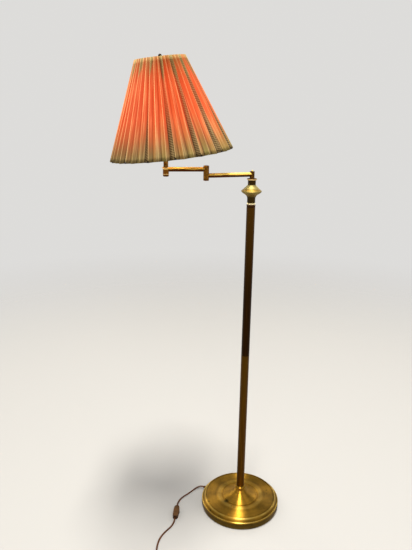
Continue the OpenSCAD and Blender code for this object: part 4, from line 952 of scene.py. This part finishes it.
def pleatPoint(s, pleat, phase, t, topDepth):
    radius = s["footR"] + (s["topR"] - s["footR"]) * t
    depth = s["depth"] + (topDepth - s["depth"]) * t
    fold = abs(2 * phase - 1)
    whole = pleat if phase < 0.5 else pleat + 1
    if whole % pleatsPerCluster == 0:
        depth += s["deep"] * fold
    belly = s["belly"] * math.sin(math.pi * t) * math.sin(math.pi * fold)
    belly *= wave(s, "belly", pleat, phase)
    wander = s["wander"] * wave(s, "wander", pleat) * math.sin(math.pi * t)
    wander += s["drift"] * wave(s, "drift", pleat)
    sag = s["sag"] * wave(s, "sag", pleat) * (1 - fold) * max(0, 1 - t * s["sagSpan"])
    least, more = s["wallShare"]
    r = radius - depth * fold - s["wall"] / 2 * (least + more * fold) - s["clear"] + belly
    around = (pleat + phase + wander * (1 - fold) * 0.5) / pleatCount
    angle = math.radians(s["phase"]) + 2 * math.pi * around
    return Vector((r * math.cos(angle), r * math.sin(angle), s["height"] * t + max(0, sag)))


def makeShade(s):
    bm = bmesh.new()
    count = sheetOfPleats(bm, s)
    mapPleats(bm, s, count)
    # a pleat's face keeps its width, so the folds get deeper towards the top
    halfPleat = math.sin(math.pi / pleatCount)
    face = math.hypot(s["depth"], s["footR"] * halfPleat)
    topDepth = math.sqrt(face ** 2 - (s["topR"] * halfPleat) ** 2)
    for vert in bm.verts:
        pleat, k = divmod(round(vert.co.x) % count, len(s["phases"]))
        vert.co = pleatPoint(s, pleat, s["phases"][k], vert.co.z / s["rows"], topDepth)
    bmesh.ops.transform(bm, matrix=shadeFrame(s), verts=bm.verts)
    bmesh.ops.recalc_face_normals(bm, faces=bm.faces)
    shade = finishPiece("shadePleats", bm, [finishes["pleatCloth"], finishes["shadeLining"]], "lamp_head")
    shade.data.set_sharp_from_angle(angle=math.radians(s["sharp"]))
    wall = shade.modifiers.new("wall", "SOLIDIFY")
    wall.thickness = s["wall"]
    wall.offset = 0
    wall.material_offset = 1
    wall.material_offset_rim = 0
    return shade


shadePleats = makeShade(shadeSizes)
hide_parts("pleated_shade")
print("stage: shade made,", len(shadePleats.data.polygons), "faces")

nodeFinish = {
    "baseBrass": ["base_shell", "base_collar"],
    "vaseBrass": ["pole_ring", "vase_lower", "vase_upper", "neck_cap"],
    "armBrass": ["inner_arm_tube", "outer_arm_tube", "hub_screw"],
    "knuckleBrass": ["elbow_lower_knuckle", "elbow_upper_knuckle", "elbow_cap", "riser_tube"],
    "hubBrass": ["pivot_hub"],
    "collarBrass": ["end_knuckle", "riser_cap"],
    "darkBrass": ["finial"],
    "brightBrass": ["harp_saddle", "saddle_nut", "harp", "harp_ferrules", "socket_cap", "socket_shell",
                    "switch_contacts", "plug_blades"],
    "steel": ["base_pipe", "base_washer", "base_locknut", "pole_foot_plug", "pole_head_plug", "vase_pipe",
              "pivot_post", "elbow_pin", "head_pipe", "screw_shell"],
    "frameMetal": ["shade_spider", "shade_bottom_ring", "shade_ribs"],
    "bulbMetal": ["bulb_cap"],
    "lowerTube": ["lower_pole"],
    "upperTube": ["upper_pole", "pole_coupler"],
    "bulbGlow": ["bulb_glass"],
    "brownPlastic": ["cord_bushing"],
    "switchPlastic": ["switch_base", "switch_cover"],
    "bakelite": ["socket_insulator", "switch_wheel"],
    "cordPlastic": ["pole_wire", "inner_arm_wire", "outer_arm_wire", "head_wire"],
    "castIron": ["base_weight"],
    "felt": ["base_felt"],
    "linerCard": ["socket_liner"],
}
for finish, names in nodeFinish.items():
    for name in names:
        for materialSlot in nodes[name].material_slots:
            materialSlot.material = finishes[finish]
print("stage: frame pieces finished")


floorLook = {"colour": (0.41, 0.402, 0.39, 1), "rough": 0.9, "shine": 0.1, "reach": 3.4, "soft": 1.3,
             "rim": 0.98, "sides": 96}


def makeFloor(s):
    bm = bmesh.new()
    bmesh.ops.create_circle(bm, cap_ends=True, segments=s["sides"], radius=s["reach"])
    material, tree, shader = newMaterial("paleFloor")
    shader.inputs["Base Color"].default_value = s["colour"]
    shader.inputs["Roughness"].default_value = s["rough"]
    shader.inputs["Specular IOR Level"].default_value = s["shine"]
    # the floor fades into the background at its edge
    away = length(tree, objectPlace(tree))
    fade = node(tree, "ShaderNodeMapRange", {0: away, 1: s["soft"], 2: s["reach"] * s["rim"]},
                interpolation_type="SMOOTHSTEP").outputs[0]
    clear = tree.nodes.new("ShaderNodeBsdfTransparent")
    blend = node(tree, "ShaderNodeMixShader", {0: fade, 1: shader.outputs[0], 2: clear.outputs[0]})
    tree.links.new(blend.outputs[0], next(n for n in tree.nodes if n.type == "OUTPUT_MATERIAL").inputs[0])
    floor = finishPiece("floorPlane", bm, material, None, smooth=False)


sideLamp = {"target": (0, 0, 0.7), "size": (1.8, 1.8), "colour": (1.0, 0.97, 0.94)}
rearLamp = {"target": (-0.1, 0, 1.1), "size": (1.6, 1.6), "power": 26, "colour": (1.0, 0.97, 0.94)}
lamps = {
    "keyLamp": {"place": (-0.25, -2.9, 3.1), "target": (0, 0, 0.6), "size": (1.1, 1.1), "power": 30,
                "colour": (1.0, 0.97, 0.93)},
    # high up and a little in front, so that the spun base shows a bright streak
    "stripLamp": {"place": (-0.05, -0.5, 5.0), "target": (0, -0.05, 0.0), "size": (0.55, 1.45),
                  "power": 350, "colour": (1.0, 0.97, 0.9)},
    "leftLamp": {**sideLamp, "place": (-2.6, -1.7, 2.2), "power": 14},
    "rightLamp": {**sideLamp, "place": (2.6, -1.5, 2.2), "power": 22},
    "rearLeftLamp": {**rearLamp, "place": (-2.1, 2.2, 2.0)},
    "rearRightLamp": {**rearLamp, "place": (2.1, 2.2, 2.0)}}


def areaLamp(name, s):
    lamp = bpy.data.lights.new(name, "AREA")
    lamp.shape = "RECTANGLE"
    lamp.size, lamp.size_y = s["size"]
    lamp.energy = s["power"]
    lamp.color = s["colour"]
    obj = newObject(name, lamp)
    obj.location = s["place"]
    obj.rotation_euler = (Vector(s["target"]) - Vector(s["place"])).to_track_quat("-Z", "Y").to_euler()


backdrop = {"colour": (0.93, 0.92, 0.9, 1), "light": 0.42, "seen": 0.36}


def makeWorld(s):
    # the background looks brighter than the light that it gives
    world = bpy.data.worlds.new("studio")
    bpy.context.scene.world = world
    world.use_nodes = True
    tree = world.node_tree
    tree.nodes.clear()
    path = tree.nodes.new("ShaderNodeLightPath").outputs
    mirrored = sums(tree, "MAXIMUM", path["Is Glossy Ray"], path["Is Transmission Ray"])
    seen = sums(tree, "MAXIMUM", path["Is Camera Ray"], mirrored)
    strength = sums(tree, "MULTIPLY_ADD", seen, s["seen"], s["light"])
    background = node(tree, "ShaderNodeBackground", {0: s["colour"], 1: strength})
    out = tree.nodes.new("ShaderNodeOutputWorld")
    tree.links.new(background.outputs[0], out.inputs[0])


makeFloor(floorLook)
for name, settings in lamps.items():
    areaLamp(name, settings)
makeWorld(backdrop)
print("stage: floor and light made")
